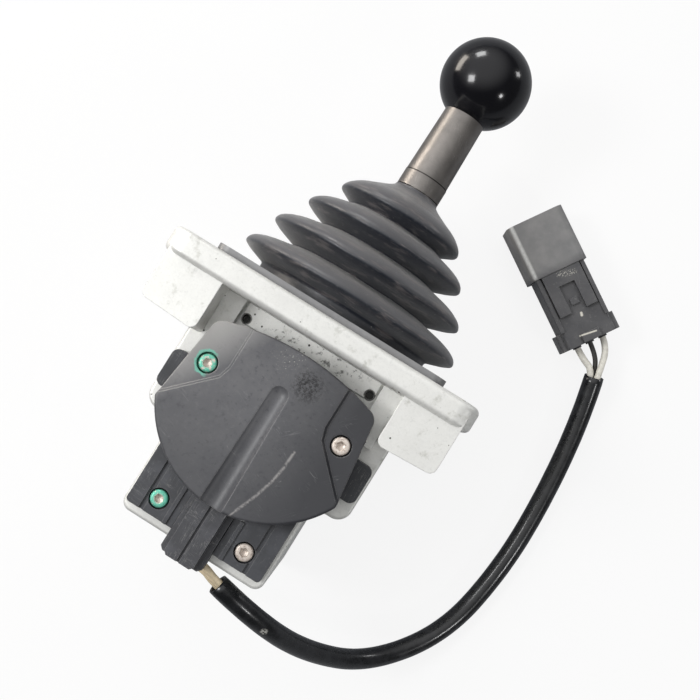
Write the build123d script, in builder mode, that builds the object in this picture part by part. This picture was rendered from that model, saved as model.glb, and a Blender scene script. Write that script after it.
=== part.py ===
from build123d import *
import math
import os

# Hand control lever lying on its back, in millimetres. X runs across the flange, Y along
# the lever to the knob, Z up from the rear rest face to the sensor cover. The origin is
# where the lever's pivot axis meets the rest face.

# Lever
axis_height = 56.0
knob_diameter = 38.0
knob_reach = 156.4
knob_bore_depth = 20.0
rod_diameter = 12.0
tube_top_diameter = 17.8
tube_low_diameter = 19.0
tube_low = 109.5
collar_diameter = 19.3
collar_neck_diameter = 17.2
collar_step = 102.7
collar_bottom = 90.0

# Flange and its bosses
flange_width = 132.0
flange_thickness = 10.3
flange_low = 27.6
flange_corner = 8.0
flange_edge_radius = 2.5
boss_inner = 39.0
boss_outer = 63.0
boss_height = 20.2
boss_slant = 1.2
boss_depth = 23.0
boss_inset = 1.5
boss_corner = 3.0
bolt_side_inset = 9.0
bolt_end_inset = 8.0
bolt_hole_diameter = 6.6

# Casting
front_rise = 32.0
shoulder_half = 45.3
shoulder_low = -25.8
shoulder_corner = 6.0
block_half = 31.5
block_low = -64.5
block_corner = 4.0
edge_radius = 1.2
wall = 7.0
web = 6.0
slot_half_width = 26.0
slot_half_height = 13.0
slot_corner = 5.0
pillar_inner = 30.7
pillar_outer = 39.0
pillar_rise = 5.0
pillar_length = 23.6
pad_half = 29.6
pad_rise = 2.0
pad_length = 8.0
pad_corner = 4.0
pad_hole_diameter = 3.4
pad_hole_inset = 1.9

# Rear cover, let into the casting
cover_rim = 5.0
cover_plate = 7.2
gasket_thickness = 0.8
cover_plate_corner = 5.0
rear_screw_across = 34.0
rear_screw_along = 16.0
screw_post_radius = 5.5
bushing_boss_diameter = 24.0
bushing_boss_height = 8.0

# Pivot
shaft_diameter = 10.0
shaft_rear = 4.0
shaft_proud = 5.0
bushing_diameter = 14.0
bushing_length = 12.0
bushing_flange_diameter = 18.0
bushing_flange_thickness = 1.5
spacer_diameter = 14.0
ring_diameter = 15.4
ring_groove_depth = 0.3
ring_thickness = 1.0
ring_opening = 3.0
hub_half_width = 12.0
hub_clearance = 0.6
hub_neck_diameter = 20.0
hub_neck_top = 26.0
rod_low = 8.0
pin_diameter = 4.0
rod_pin_height = 17.0
shaft_pin_length = 19.0
arm_reach = 18.0
arm_tip_radius = 5.0
arm_half_width = 8.0
arm_neck = 5.0

# Return plungers and springs
plunger_diameter = 10.0
plunger_length = 26.0
plunger_rest_gap = 0.25
plunger_chamfer = 0.6
spigot_diameter = 5.4
spigot_length = 3.0
spring_bore_depth = 41.0
spring_wire = 1.5
spring_mean_radius = 3.9
spring_turns = 6

# Boot: rims and the valleys below them, as (height along the lever, radius)
boot_rims = [(89.2, 28.6), (77.1, 37.4), (63.5, 45.1), (49.6, 50.8)]
boot_valleys = [(84.5, 21.0), (71.3, 25.5), (57.3, 30.8), (44.6, 38.2)]
boot_bulge = 1.2
boot_rim_radius = 1.0
boot_wall = 3.4
boot_collar_radius = 10.4
boot_collar_height = 8.0
boot_neck_height = 2.6
boot_foot_radius = 40.2
boot_base_thickness = 1.8
boot_base_corner = 4.0
retainer_width = 99.0
retainer_height = 3.0
retainer_sheet = 1.1
retainer_corner = 5.0
retainer_screw_inset = 6.5
retainer_sink = 0.3
retainer_margin = 1.2

# Sensor side
base_thickness = 6.0
cover_rise = 13.0
cover_pad_drop = 1.6
cover_pad_slope = 30.0
cover_radius = 44.0
cover_side_low = -20.0
cover_top_half = 34.6
cover_top_side = 15.6
cover_peak = 21.5
cover_top_corner = 5.0
cover_side_corner = 2.0
cover_edge_radius = 1.0
cover_wall = 2.5
cover_pocket_depth = 7.6
pad_edge_half = 21.4
pad_bend = 3.0
pad_knee_half = 22.8
pad_knee = -1.6
groove_top = 8.8
groove_small_radius = 5.1
groove_large_radius = 6.0
groove_axis_rise = 3.6
base_inset = 1.2
base_bore_diameter = 22.0
lug_half = 44.3
lug_top = -1.4
lug_low = -17.2
lug_corner = 3.0
cover_screw_spot = 29.0
cover_screw_sink = 4.0
cover_post_diameter = 11.0
board_width = 36.0
board_height = 24.0
board_thickness = 1.6
board_rise = 4.0
board_post_inset = 3.5
board_post_diameter = 5.0
holder_diameter = 13.0
holder_grip = 3.4
holder_floor = 0.4
magnet_diameter = 8.0
magnet_thickness = 3.0

# Lower plate and cable trough
plate_half = 29.8
plate_top = -27.2
plate_low = -60.3
plate_corner = 1.5
plate_screw_across = 19.0
plate_screw_height = -53.4
plate_groove_spot = 23.0
plate_groove_width = 1.8
plate_groove_depth = 1.0
plate_rib_spot = 12.6
plate_rib_width = 1.6
plate_rib_height = 0.8
trough_half = 9.0
trough_flank_height = 7.5
trough_crown_half = 6.5
trough_crown_height = 12.0
trough_crease = 1.0
trough_channel_half = 5.4
trough_channel_height = 10.2
trough_top = -34.0
trough_low = -68.6
trough_chamfer = 1.4

# Cap screws with hexagon sockets
screw_diameter = 4.0
screw_head_diameter = 7.0
screw_head_height = 3.8
screw_hexagon = 3.0
screw_hexagon_depth = 2.0
screw_length = 16.0
low_screw_head_height = 2.2
low_screw_length = 8.0
low_screw_hexagon_depth = 1.2
counterbore_diameter = 8.2

# Clearances
fit_clearance = 0.03
thread_clearance = 0.05
seat_gap = 0.2
soft_gap = 0.15
spring_end_gap = 0.15

# Harness: lead wires run down the trough as (along, height), turn below the block and
# enter the sleeve, whose route comes down to the rest surface
sleeve_diameter = 8.8
wire_diameter = 2.1
wire_pitch = 2.5
bend_share = 0.45
wire_lead = 6.0
trough_route = [(-26.0, 97.0), (-38.0, 95.6), (-52.0, 92.5), (-66.8, 90.7)]
exit_bend = (2.6, -68.6, 84.6)
exit_lane = (1.3, 2.1)
sleeve_route = [
    (16.1, -71.2, 80.5),
    (34.5, -76.1, 75.8),
    (59.7, -82.0, 47.2),
    (86.7, -77.1, 19.6),
    (110.1, -50.2, 4.6),
    (116.8, -12.0, 4.8),
    (116.4, 25.4, 4.6),
    (111.8, 63.9, 6.0),
    (106.5, 82.1, 11.1),
]

# Connector, lying on the rest surface beside the lever
connector_centre = (71.4, 110.8)
connector_heading = (-0.838, 0.546)
connector_length = 59.8
shroud_length = 26.0
shroud_width = 26.7
shroud_height = 23.0
shroud_wall = 1.8
shroud_corner = 4.0
shroud_depth = 17.0
tail_width = 22.9
tail_height = 17.0
tail_corner = 1.5
rail_width = 1.8
rail_rise = 1.2
rear_lug_width = 27.7
rear_lug_length = 8.0
rear_lug_height = 12.0
lug_plate_length = 19.5
lug_plate_width = 18.0
lug_plate_rise = 2.2
latch_width = 7.3
latch_length = 12.8
latch_nose_length = 3.0
latch_nose_rise = 1.4
terminal_pitch = 6.2
terminal_bore_diameter = 4.2
terminal_diameter = 4.0
terminal_length = 18.0
pin_blade_diameter = 1.6
pin_blade_length = 13.0
lock_width = 8.2
lock_length = 4.0
lock_rise = 2.4
seal_width = 17.5
seal_height = 8.0
seal_length = 5.0
seal_collar_diameter = 4.0
seal_collar_length = 0.8

# Sizes that follow from the ones above
flange_top = flange_low + flange_thickness
flange_depth = 2 * axis_height
body_depth = axis_height + front_rise
shaft_front = body_depth + shaft_proud
bolt_across = flange_width / 2 - bolt_side_inset
bolt_along = axis_height - bolt_end_inset
boot_seat = flange_top - retainer_sink
retainer_screw_spot = retainer_width / 2 - retainer_screw_inset
hub_radius = arm_reach - plunger_diameter / 2 - hub_clearance
boss_low = flange_low - boss_height
knob_seat = knob_reach - math.sqrt((knob_diameter / 2) ** 2 - (tube_top_diameter / 2) ** 2)
recess_depth = cover_plate + gasket_thickness
recess_half = shoulder_half - cover_rim
recess_low = shoulder_low + cover_rim
recess_top = flange_low - cover_rim
recess_middle = (recess_low + recess_top) / 2
cavity_half = shoulder_half - wall
cavity_low = shoulder_low + wall
cavity_top = flange_low - web / 2
cavity_front = body_depth - web
bore_floor = cavity_low - spring_bore_depth
plunger_top = -arm_tip_radius - plunger_rest_gap
plunger_bottom = plunger_top - plunger_length
plate_level = body_depth + base_thickness
cover_face = plate_level + cover_rise
pad_level = cover_face - cover_pad_drop
cover_screw_seat = pad_level - cover_screw_sink
board_level = plate_level + board_rise
magnet_level = shaft_front + holder_floor
collar_neck_low = collar_step - boot_collar_height
pocket_height = retainer_height - retainer_sheet
lever_axis = Axis((0, 0, axis_height), (0, 1, 0))
plunger_sides = {"left": -1, "right": 1}


def lying(height):
    """The plane across the lever at this height, facing the knob, centred on its axis."""
    return Plane(origin=(0, height, axis_height), x_dir=(1, 0, 0), z_dir=(0, 1, 0))


def corner_spots(across, along):
    """The four corners of a rectangle about the centre."""
    return [(x, y) for x in (-across, across) for y in (-along, along)]


def disc(plane, diameter, height, mode=Mode.ADD, spots=((0, 0),)):
    """Round bosses or holes of one height on the plane."""
    with BuildSketch(plane) as profile:
        with Locations(*spots):
            Circle(diameter / 2)
    extrude(profile.sketch, amount=height, mode=mode)


def block(plane, width, length, height, corner=0.0, mode=Mode.ADD, spots=((0, 0),)):
    """Rectangular blocks or pockets of one height on the plane."""
    with BuildSketch(plane) as profile:
        with Locations(*spots):
            Rectangle(width, length)
        if corner > 0:
            fillet(vertices(), corner)
    extrude(profile.sketch, amount=height, mode=mode)


def cap_screws(seat, spots, length, head_height, socket_depth):
    """Cap screws with heads standing on the plane seat and shanks below it."""
    with BuildPart() as screws:
        disc(seat, screw_head_diameter, head_height, spots=spots)
        disc(seat, screw_diameter, -length, spots=spots)
        with BuildSketch(seat.offset(head_height)):
            with Locations(*spots):
                RegularPolygon(screw_hexagon / 2, 6, major_radius=False)
        extrude(amount=-socket_depth, mode=Mode.SUBTRACT)
    return screws


def bend_radii(points):
    """The largest arc at each inner point: a share of its shorter run over the half turn."""
    radii = []
    for before, here, after in zip(points, points[1:], points[2:]):
        arriving = Vector(here) - Vector(before)
        leaving = Vector(after) - Vector(here)
        half_turn = math.radians(arriving.get_angle(leaving)) / 2
        shorter = min(arriving.length, leaving.length)
        radii.append(bend_share * shorter / math.tan(half_turn))
    return radii


def add_tube(points, diameter):
    """Adds a solid tube along straight runs joined by tangent arcs; gives its length."""
    with BuildLine() as path:
        FilletPolyline(*points, radius=bend_radii(points))
    start = Plane(origin=points[0], z_dir=Vector(points[1]) - Vector(points[0]))
    with BuildSketch(start) as section:
        Circle(diameter / 2)
    sweep(section.sketch, path=path.wire())
    return path.wire().length


# Housing casting: flange, bosses, shoulders and spring block in one piece
with BuildPart() as housing_casting:
    with BuildSketch(lying(flange_low)):
        RectangleRounded(flange_width, flange_depth, flange_corner)
    extrude(amount=flange_thickness)
    rims = faces().sort_by(Axis.Y)
    fillet(rims[0].edges() + rims[-1].edges(), flange_edge_radius)

    with BuildSketch():
        body_top = flange_low + flange_thickness / 2
        with Locations((0, (body_top + shoulder_low) / 2)):
            Rectangle(2 * shoulder_half, body_top - shoulder_low)
        with Locations((0, block_low / 2)):
            Rectangle(2 * block_half, -block_low)
        fillet(vertices().group_by(Axis.Y)[1], shoulder_corner)
        fillet(vertices().group_by(Axis.Y)[0], block_corner)
    extrude(amount=body_depth)
    body_face = faces().filter_by_position(Axis.Z, body_depth - seat_gap, body_depth + seat_gap)
    fillet(body_face.edges().filter_by_position(Axis.Y, block_low - seat_gap, shoulder_low), edge_radius)

    for boss_base in (boss_inset, flange_depth - boss_inset - boss_depth):
        with BuildSketch(Plane.XY.offset(boss_base)):
            with BuildLine():
                Polyline(
                    (boss_inner, body_top),
                    (boss_inner, boss_low),
                    (boss_outer, boss_low + boss_slant),
                    (boss_outer, body_top),
                    close=True,
                )
            make_face()
            fillet(vertices().sort_by(Axis.Y)[:2], boss_corner)
            mirror(about=Plane.YZ)
        extrude(amount=boss_depth)

    front = Plane.XY.offset(body_depth)
    pillar_width = pillar_outer - pillar_inner
    pillar_middle = (pillar_outer + pillar_inner) / 2
    pillar_spots = [(side * pillar_middle, flange_low - pillar_length / 2) for side in (-1, 1)]
    block(front, pillar_width, pillar_length, pillar_rise, spots=pillar_spots)
    with BuildSketch(front):
        with Locations((0, flange_low - pad_length / 2)):
            Rectangle(2 * pad_half, pad_length)
        fillet(vertices().group_by(Axis.Y)[0], pad_corner)
    extrude(amount=pad_rise)
    pad_hole_height = flange_low - pad_length + pad_hole_inset
    pad_holes = [(side * (pad_half - pad_hole_inset), pad_hole_height) for side in (-1, 1)]
    disc(front.offset(pad_rise), pad_hole_diameter, -pad_rise - web / 2, Mode.SUBTRACT, pad_holes)

    with BuildSketch():
        with Locations((0, recess_middle)):
            RectangleRounded(2 * recess_half, recess_top - recess_low, cover_plate_corner)
    extrude(amount=recess_depth, mode=Mode.SUBTRACT)
    post_spots = [(x, y + recess_middle) for x, y in corner_spots(rear_screw_across, rear_screw_along)]
    with BuildSketch(Plane.XY.offset(recess_depth)):
        with Locations((0, (cavity_low + cavity_top) / 2)):
            Rectangle(2 * cavity_half, cavity_top - cavity_low)
        with Locations(*post_spots):
            Circle(screw_post_radius, mode=Mode.SUBTRACT)
    extrude(amount=cavity_front - recess_depth, mode=Mode.SUBTRACT)
    block(
        lying(flange_top),
        2 * slot_half_width,
        2 * slot_half_height,
        cavity_top - flange_top,
        slot_corner,
        Mode.SUBTRACT,
    )

    disc(Plane.XY.offset(cavity_front), bushing_boss_diameter, web - bushing_length)
    disc(front, bushing_diameter + 2 * fit_clearance, -bushing_length, Mode.SUBTRACT)
    bore_spots = [(side * arm_reach, 0) for side in (-1, 1)]
    bore_diameter = plunger_diameter + 2 * fit_clearance
    disc(lying(bore_floor), bore_diameter, spring_bore_depth + seat_gap, Mode.SUBTRACT, bore_spots)

    thread_diameter = screw_diameter + 2 * thread_clearance
    rear_threads = Plane.XY.offset(recess_depth)
    disc(rear_threads, thread_diameter, screw_length, Mode.SUBTRACT, post_spots)
    front_thread_spots = [(side * cover_screw_spot, 0) for side in (-1, 1)]
    plate_screw_spots = [(side * plate_screw_across, plate_screw_height) for side in (-1, 1)]
    disc(front, thread_diameter, -screw_length, Mode.SUBTRACT, front_thread_spots)
    disc(front, thread_diameter, -screw_length, Mode.SUBTRACT, plate_screw_spots)
    retainer_spots = corner_spots(retainer_screw_spot, retainer_screw_spot)
    disc(lying(flange_top), thread_diameter, -low_screw_length, Mode.SUBTRACT, retainer_spots)
    seat_width = retainer_width + 2 * retainer_margin
    seat_face = lying(flange_top)
    block(seat_face, seat_width, seat_width, -retainer_sink, retainer_corner, Mode.SUBTRACT)
    bolt_spots = corner_spots(bolt_across, bolt_along)
    disc(lying(flange_top), bolt_hole_diameter, boss_low - flange_top, Mode.SUBTRACT, bolt_spots)

# Rear cover with its bushing boss, gasket and screws
recess_plane = Plane(origin=(0, recess_middle, 0), z_dir=(0, 0, 1))
cover_width = 2 * (recess_half - seat_gap)
cover_length = recess_top - recess_low - 2 * seat_gap
rear_screw_spots = corner_spots(rear_screw_across, rear_screw_along)
rear_seat_depth = screw_head_height + seat_gap
hole_diameter = screw_diameter + 2 * thread_clearance
bushing_bore = bushing_diameter + 2 * fit_clearance
rear_bushing_top = recess_depth + bushing_boss_height
with BuildPart() as rear_cover:
    block(recess_plane, cover_width, cover_length, cover_plate, cover_plate_corner)
    disc(Plane.XY, bushing_boss_diameter, rear_bushing_top)
    disc(Plane.XY.offset(rear_bushing_top), bushing_bore, -bushing_length, Mode.SUBTRACT)
    disc(recess_plane, counterbore_diameter, rear_seat_depth, Mode.SUBTRACT, rear_screw_spots)
    disc(recess_plane, hole_diameter, cover_plate, Mode.SUBTRACT, rear_screw_spots)

with BuildPart() as rear_gasket:
    with BuildSketch(Plane.XY.offset(cover_plate)):
        with Locations((0, recess_middle)):
            RectangleRounded(cover_width, cover_length, cover_plate_corner)
        with Locations((0, recess_middle)):
            Rectangle(2 * cavity_half - wall, cover_length - wall, mode=Mode.SUBTRACT)
        with Locations(*post_spots):
            Circle(screw_post_radius)
        with Locations(*post_spots):
            Circle(hole_diameter / 2, mode=Mode.SUBTRACT)
    extrude(amount=gasket_thickness)

rear_seat = Plane(
    origin=(0, recess_middle, rear_seat_depth), x_dir=(1, 0, 0), z_dir=(0, 0, -1)
)
rear_cover_screws = cap_screws(
    rear_seat, rear_screw_spots, screw_length, screw_head_height, screw_hexagon_depth
)

# Pivot: two flanged bushings, the shaft, its spacers and its retaining ring
shaft_bore = shaft_diameter + 2 * fit_clearance
bushing_inner_face = cavity_front + web - bushing_length
with BuildPart() as front_bushing:
    disc(front, bushing_diameter, -bushing_length)
    disc(
        Plane.XY.offset(bushing_inner_face), bushing_flange_diameter, -bushing_flange_thickness
    )
    disc(front, shaft_bore, -bushing_length - bushing_flange_thickness, Mode.SUBTRACT)

with BuildPart() as rear_bushing:
    disc(Plane.XY.offset(rear_bushing_top), bushing_diameter, -bushing_length)
    disc(Plane.XY.offset(rear_bushing_top), bushing_flange_diameter, bushing_flange_thickness)
    disc(
        Plane.XY.offset(rear_bushing_top - bushing_length),
        shaft_bore,
        bushing_length + bushing_flange_thickness,
        Mode.SUBTRACT,
    )

ring_level = body_depth + seat_gap
with BuildPart() as pivot_shaft:
    disc(Plane.XY.offset(shaft_rear + seat_gap), shaft_diameter, shaft_front - shaft_rear - seat_gap)
    with BuildSketch(Plane.XY.offset(ring_level - fit_clearance)):
        Circle(shaft_diameter / 2)
        Circle(shaft_diameter / 2 - ring_groove_depth, mode=Mode.SUBTRACT)
    extrude(amount=ring_thickness + 2 * fit_clearance, mode=Mode.SUBTRACT)
    disc(lying(-hub_radius), pin_diameter + 2 * fit_clearance, shaft_pin_length, Mode.SUBTRACT)

with BuildPart() as retaining_ring:
    with BuildSketch(Plane.XY.offset(ring_level)):
        Circle(ring_diameter / 2)
        Circle(shaft_diameter / 2 - ring_groove_depth + fit_clearance, mode=Mode.SUBTRACT)
        with Locations((0, -ring_diameter / 2)):
            Rectangle(ring_opening, ring_diameter, mode=Mode.SUBTRACT)
    extrude(amount=ring_thickness)

hub_rear = axis_height - hub_half_width - seat_gap
hub_front = axis_height + hub_half_width + seat_gap
rear_stop = rear_bushing_top + bushing_flange_thickness + seat_gap
front_stop = bushing_inner_face - bushing_flange_thickness - seat_gap
with BuildPart() as thrust_spacers:
    for spacer_low, spacer_high in ((rear_stop, hub_rear), (hub_front, front_stop)):
        disc(Plane.XY.offset(spacer_low), spacer_diameter, spacer_high - spacer_low)
    disc(Plane.XY.offset(rear_stop), shaft_bore, front_stop - rear_stop, Mode.SUBTRACT)

# Lever hub with two arms that press the plungers, and its cross pins
pin_bore = pin_diameter + 2 * fit_clearance
middle = Plane.XY.offset(axis_height)
with BuildPart() as lever_hub:
    with BuildSketch(middle):
        Circle(hub_radius)
    extrude(amount=hub_half_width, both=True)
    with BuildSketch(middle):
        Rectangle(2 * arm_reach, arm_neck)
        with Locations(*bore_spots):
            Circle(arm_tip_radius)
    extrude(amount=arm_half_width, both=True)
    disc(lying(0), hub_neck_diameter, hub_neck_top)
    with BuildSketch(middle):
        Circle(shaft_bore / 2)
    extrude(amount=hub_half_width, both=True, mode=Mode.SUBTRACT)
    disc(lying(rod_low), rod_diameter + 2 * fit_clearance, hub_neck_top, Mode.SUBTRACT)
    with BuildSketch(middle):
        with Locations((0, rod_pin_height)):
            Circle(pin_bore / 2)
    extrude(amount=hub_neck_diameter, both=True, mode=Mode.SUBTRACT)
    disc(lying(-hub_radius), pin_bore, shaft_pin_length, Mode.SUBTRACT)

with BuildPart() as hub_pins:
    with BuildSketch(middle):
        with Locations((0, rod_pin_height)):
            Circle(pin_diameter / 2)
    extrude(amount=hub_neck_diameter / 2 - seat_gap, both=True)
    disc(lying(-hub_radius + seat_gap), pin_diameter, shaft_pin_length - 2 * seat_gap)

# Lever rod, collar, handle tube and ball knob
knob_bore_end = knob_seat + knob_bore_depth
with BuildPart() as lever_rod:
    disc(lying(rod_low + fit_clearance), rod_diameter, knob_bore_end - seat_gap - rod_low)
    chamfer(faces().sort_by(Axis.Y)[-1].edges(), 2 * seat_gap)
    with BuildSketch(middle):
        with Locations((0, rod_pin_height)):
            Circle(pin_bore / 2)
    extrude(amount=rod_diameter, both=True, mode=Mode.SUBTRACT)

sleeve_bore = rod_diameter + 2 * fit_clearance
with BuildPart() as lower_collar:
    disc(lying(collar_bottom), collar_neck_diameter, collar_step - collar_bottom)
    disc(lying(collar_step), collar_diameter, tube_low - collar_step)
    disc(lying(collar_bottom), sleeve_bore, tube_low - collar_bottom, Mode.SUBTRACT)

with BuildPart() as handle_tube:
    with BuildSketch(Plane.XY.offset(axis_height)):
        with BuildLine():
            Polyline(
                (sleeve_bore / 2, tube_low),
                (tube_low_diameter / 2, tube_low),
                (tube_top_diameter / 2, knob_seat),
                (sleeve_bore / 2, knob_seat),
                close=True,
            )
        make_face()
    revolve(axis=lever_axis)

with BuildPart() as ball_knob:
    with BuildSketch(Plane.XY.offset(axis_height)):
        with BuildLine():
            knob_top = knob_reach + knob_diameter / 2
            Line((0, knob_top), (0, knob_seat))
            Line((0, knob_seat), (tube_top_diameter / 2, knob_seat))
            ThreePointArc(
                (tube_top_diameter / 2, knob_seat), (knob_diameter / 2, knob_reach), (0, knob_top)
            )
        make_face()
    revolve(axis=lever_axis)
    disc(lying(knob_seat), sleeve_bore, knob_bore_depth, Mode.SUBTRACT)


def flank(start, end):
    """One upper flank of the bellows, swelling outwards between rim and valley."""
    run = Vector(*end) - Vector(*start)
    outward = Vector(-run.Y, run.X).normalized()
    if outward.Y < 0:
        outward = -outward
    middle_point = (Vector(*start) + Vector(*end)) * 0.5 + outward * boot_bulge
    ThreePointArc(start, (middle_point.X, middle_point.Y), end)


def bellows_side(inward, foot, neck):
    """The bellows' side from its foot up to its neck, moved in towards the lever."""
    rims = [(radius - inward, height) for height, radius in boot_rims]
    valleys = [(radius - inward, height) for height, radius in boot_valleys]
    Line(foot, valleys[-1])
    for step in reversed(range(len(rims))):
        Line(valleys[step], rims[step])
        flank(rims[step], valleys[step - 1] if step else neck)


# Bellows boot with its square base, held by a pressed steel retainer
boot_top = collar_step - seat_gap
boot_neck = boot_top - boot_neck_height
boot_bore = collar_neck_diameter / 2 + soft_gap
boot_mouth = boot_valleys[-1][1] - boot_wall
boot_base_width = retainer_width - 2 * retainer_sheet - 2 * seat_gap
with BuildPart() as boot:
    with BuildSketch(Plane.XY.offset(axis_height)):
        with BuildLine():
            bellows_side(0, (boot_foot_radius, boot_seat), (boot_collar_radius, boot_neck))
            bellows_side(boot_wall, (boot_mouth, boot_seat), (boot_bore, collar_neck_low))
            Line((boot_foot_radius, boot_seat), (boot_mouth, boot_seat))
            Line((boot_collar_radius, boot_neck), (boot_collar_radius, boot_top))
            Line((boot_collar_radius, boot_top), (boot_bore, boot_top))
            Line((boot_bore, boot_top), (boot_bore, collar_neck_low))
        make_face()
        rim_corners = [
            corner
            for corner in vertices()
            if any(abs(corner.X - radius) + abs(corner.Y - height) < fit_clearance
                   for height, radius in boot_rims)
        ]
        fillet(rim_corners, boot_rim_radius)
    revolve(axis=lever_axis)
    with BuildSketch(lying(boot_seat)):
        RectangleRounded(boot_base_width, boot_base_width, boot_base_corner)
        Circle(boot_mouth, mode=Mode.SUBTRACT)
        with Locations(*retainer_spots):
            Circle(hole_diameter / 2, mode=Mode.SUBTRACT)
    extrude(amount=boot_base_thickness)

with BuildPart() as boot_retainer:
    block(lying(boot_seat), retainer_width, retainer_width, retainer_height, retainer_corner)
    pocket_width = retainer_width - 2 * retainer_sheet
    block(lying(boot_seat), pocket_width, pocket_width, pocket_height, boot_base_corner, Mode.SUBTRACT)
    hole = 2 * (boot_foot_radius + 2 * seat_gap)
    disc(lying(boot_seat), hole, retainer_height, Mode.SUBTRACT)
    disc(lying(boot_seat), hole_diameter, retainer_height, Mode.SUBTRACT, retainer_spots)

retainer_screws = cap_screws(
    lying(boot_seat + retainer_height),
    retainer_spots,
    low_screw_length,
    low_screw_head_height,
    low_screw_hexagon_depth,
)


def plunger(side):
    """One return plunger, flat on top, with a spigot that centres its spring."""
    spot = ((side * arm_reach, 0),)
    with BuildPart() as piece:
        disc(lying(plunger_bottom), plunger_diameter, plunger_length, spots=spot)
        chamfer(piece.faces().sort_by(Axis.Y)[-1].edges(), plunger_chamfer)
        disc(lying(plunger_bottom), spigot_diameter, -spigot_length, spots=spot)
    return piece


def spring(side):
    """One square-wire compression spring between its bore's floor and the plunger."""
    low = bore_floor + spring_end_gap + spring_wire / 2
    height = plunger_bottom - spring_end_gap - spring_wire / 2 - low
    with BuildPart() as piece:
        with BuildLine() as coil:
            Helix(
                pitch=height / spring_turns,
                height=height,
                radius=spring_mean_radius,
                center=(side * arm_reach, low, axis_height),
                direction=(0, 1, 0),
            )
        start = coil.line @ 0
        outward = start - Vector(side * arm_reach, low, axis_height)
        with BuildSketch(Plane(origin=start, x_dir=outward, z_dir=coil.line % 0)):
            Rectangle(spring_wire, spring_wire)
        sweep(is_frenet=True)
    return piece


# Return plungers and springs, one pair each side of the pivot
plunger_left = plunger(-1)
plunger_right = plunger(1)
spring_left = spring(-1)
spring_right = spring(1)


def cover_outline(inset=0.0):
    """The sensor cover's outline: a flat top arc, straight sides and a round lower edge."""
    top_half = cover_top_half - inset
    top_side = cover_top_side - inset
    radius = cover_radius - inset
    side_half = math.sqrt(radius**2 - cover_side_low**2)
    with BuildLine() as edge:
        ThreePointArc((-top_half, top_side), (0, cover_peak - inset), (top_half, top_side))
        Line((top_half, top_side), (side_half, cover_side_low))
        ThreePointArc((side_half, cover_side_low), (0, -radius), (-side_half, cover_side_low))
        Line((-side_half, cover_side_low), (-top_half, top_side))
    make_face(edge.edges())
    top_corners = vertices().group_by(Axis.Y)[-1]
    fillet(top_corners, cover_top_corner)
    side_corners = vertices().filter_by_position(
        Axis.Y, cover_side_low - fit_clearance, cover_side_low + fit_clearance
    )
    fillet(side_corners, cover_side_corner)


# Sensor base on the casting's front face, with its two side lugs
cover_screw_spots = front_thread_spots
board_post_across = board_width / 2 - board_post_inset
board_post_along = board_height / 2 - board_post_inset
with BuildPart() as sensor_base:
    with BuildSketch(front):
        cover_outline(base_inset)
        with Locations((0, (lug_top + lug_low) / 2)):
            RectangleRounded(2 * lug_half, lug_top - lug_low, lug_corner)
        with Locations((0, plate_top + 2 * seat_gap)):
            Rectangle(
                2 * cover_radius, cover_radius, align=(Align.CENTER, Align.MAX), mode=Mode.SUBTRACT
            )
        with Locations((0, flange_low - pad_length - seat_gap)):
            Rectangle(
                2 * cover_radius, cover_radius, align=(Align.CENTER, Align.MIN), mode=Mode.SUBTRACT
            )
        with Locations(*pillar_spots):
            Rectangle(
                pillar_width + 2 * seat_gap, pillar_length + 2 * seat_gap, mode=Mode.SUBTRACT
            )
        Circle(base_bore_diameter / 2, mode=Mode.SUBTRACT)
        with Locations(*cover_screw_spots):
            Circle(hole_diameter / 2, mode=Mode.SUBTRACT)
    extrude(amount=base_thickness)
    post_corners = corner_spots(board_post_across, board_post_along)
    disc(Plane.XY.offset(plate_level), board_post_diameter, board_rise, spots=post_corners)

# Sensor cover: a moulded shell with two sunk screw pads and a centre groove
with BuildPart() as sensor_cover:
    with BuildSketch(Plane.XY.offset(plate_level)):
        cover_outline()
    extrude(amount=cover_rise)
    fillet(faces().sort_by(Axis.Z)[-1].edges(), cover_edge_radius)
    with BuildSketch(Plane.XY.offset(pad_level)):
        with BuildLine():
            reach = cover_radius + cover_wall
            Polyline(
                (pad_edge_half, reach),
                (pad_edge_half, pad_bend),
                (pad_knee_half, pad_knee),
                (pad_knee_half + reach, pad_knee - reach),
                (pad_knee_half + reach, reach),
                close=True,
            )
        make_face()
        mirror(about=Plane.YZ)
    extrude(amount=2 * cover_pad_drop, taper=-cover_pad_slope, mode=Mode.SUBTRACT)
    groove_axis = Axis((0, 0, cover_face + groove_axis_rise), (0, 1, 0))
    with BuildSketch(Plane.XY.offset(cover_face + groove_axis_rise)):
        with BuildLine():
            shoulder = groove_top - groove_small_radius
            turn = groove_small_radius / math.sqrt(2)
            groove_end = -cover_radius - cover_wall
            ThreePointArc(
                (0, groove_top), (turn, shoulder + turn), (groove_small_radius, shoulder)
            )
            Line((groove_small_radius, shoulder), (groove_large_radius, groove_end))
            Line((groove_large_radius, groove_end), (0, groove_end))
            Line((0, groove_end), (0, groove_top))
        make_face()
    revolve(axis=groove_axis, mode=Mode.SUBTRACT)
    with BuildSketch(Plane.XY.offset(plate_level)):
        cover_outline(cover_wall)
        with Locations(*cover_screw_spots):
            Circle(cover_post_diameter / 2, mode=Mode.SUBTRACT)
    extrude(amount=cover_pocket_depth, mode=Mode.SUBTRACT)
    notch_spot = ((0, -cover_radius),)
    notch_height = trough_crown_height - base_thickness + seat_gap
    notch_width = 2 * (trough_half + seat_gap)
    block(
        Plane.XY.offset(plate_level),
        notch_width,
        2 * cover_radius + 2 * trough_top,
        notch_height,
        mode=Mode.SUBTRACT,
        spots=notch_spot,
    )
    pad_plane = Plane.XY.offset(cover_face)
    sink = cover_pad_drop + cover_screw_sink
    disc(pad_plane, counterbore_diameter, -sink, Mode.SUBTRACT, cover_screw_spots)
    disc(pad_plane, hole_diameter, -cover_rise, Mode.SUBTRACT, cover_screw_spots)

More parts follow.
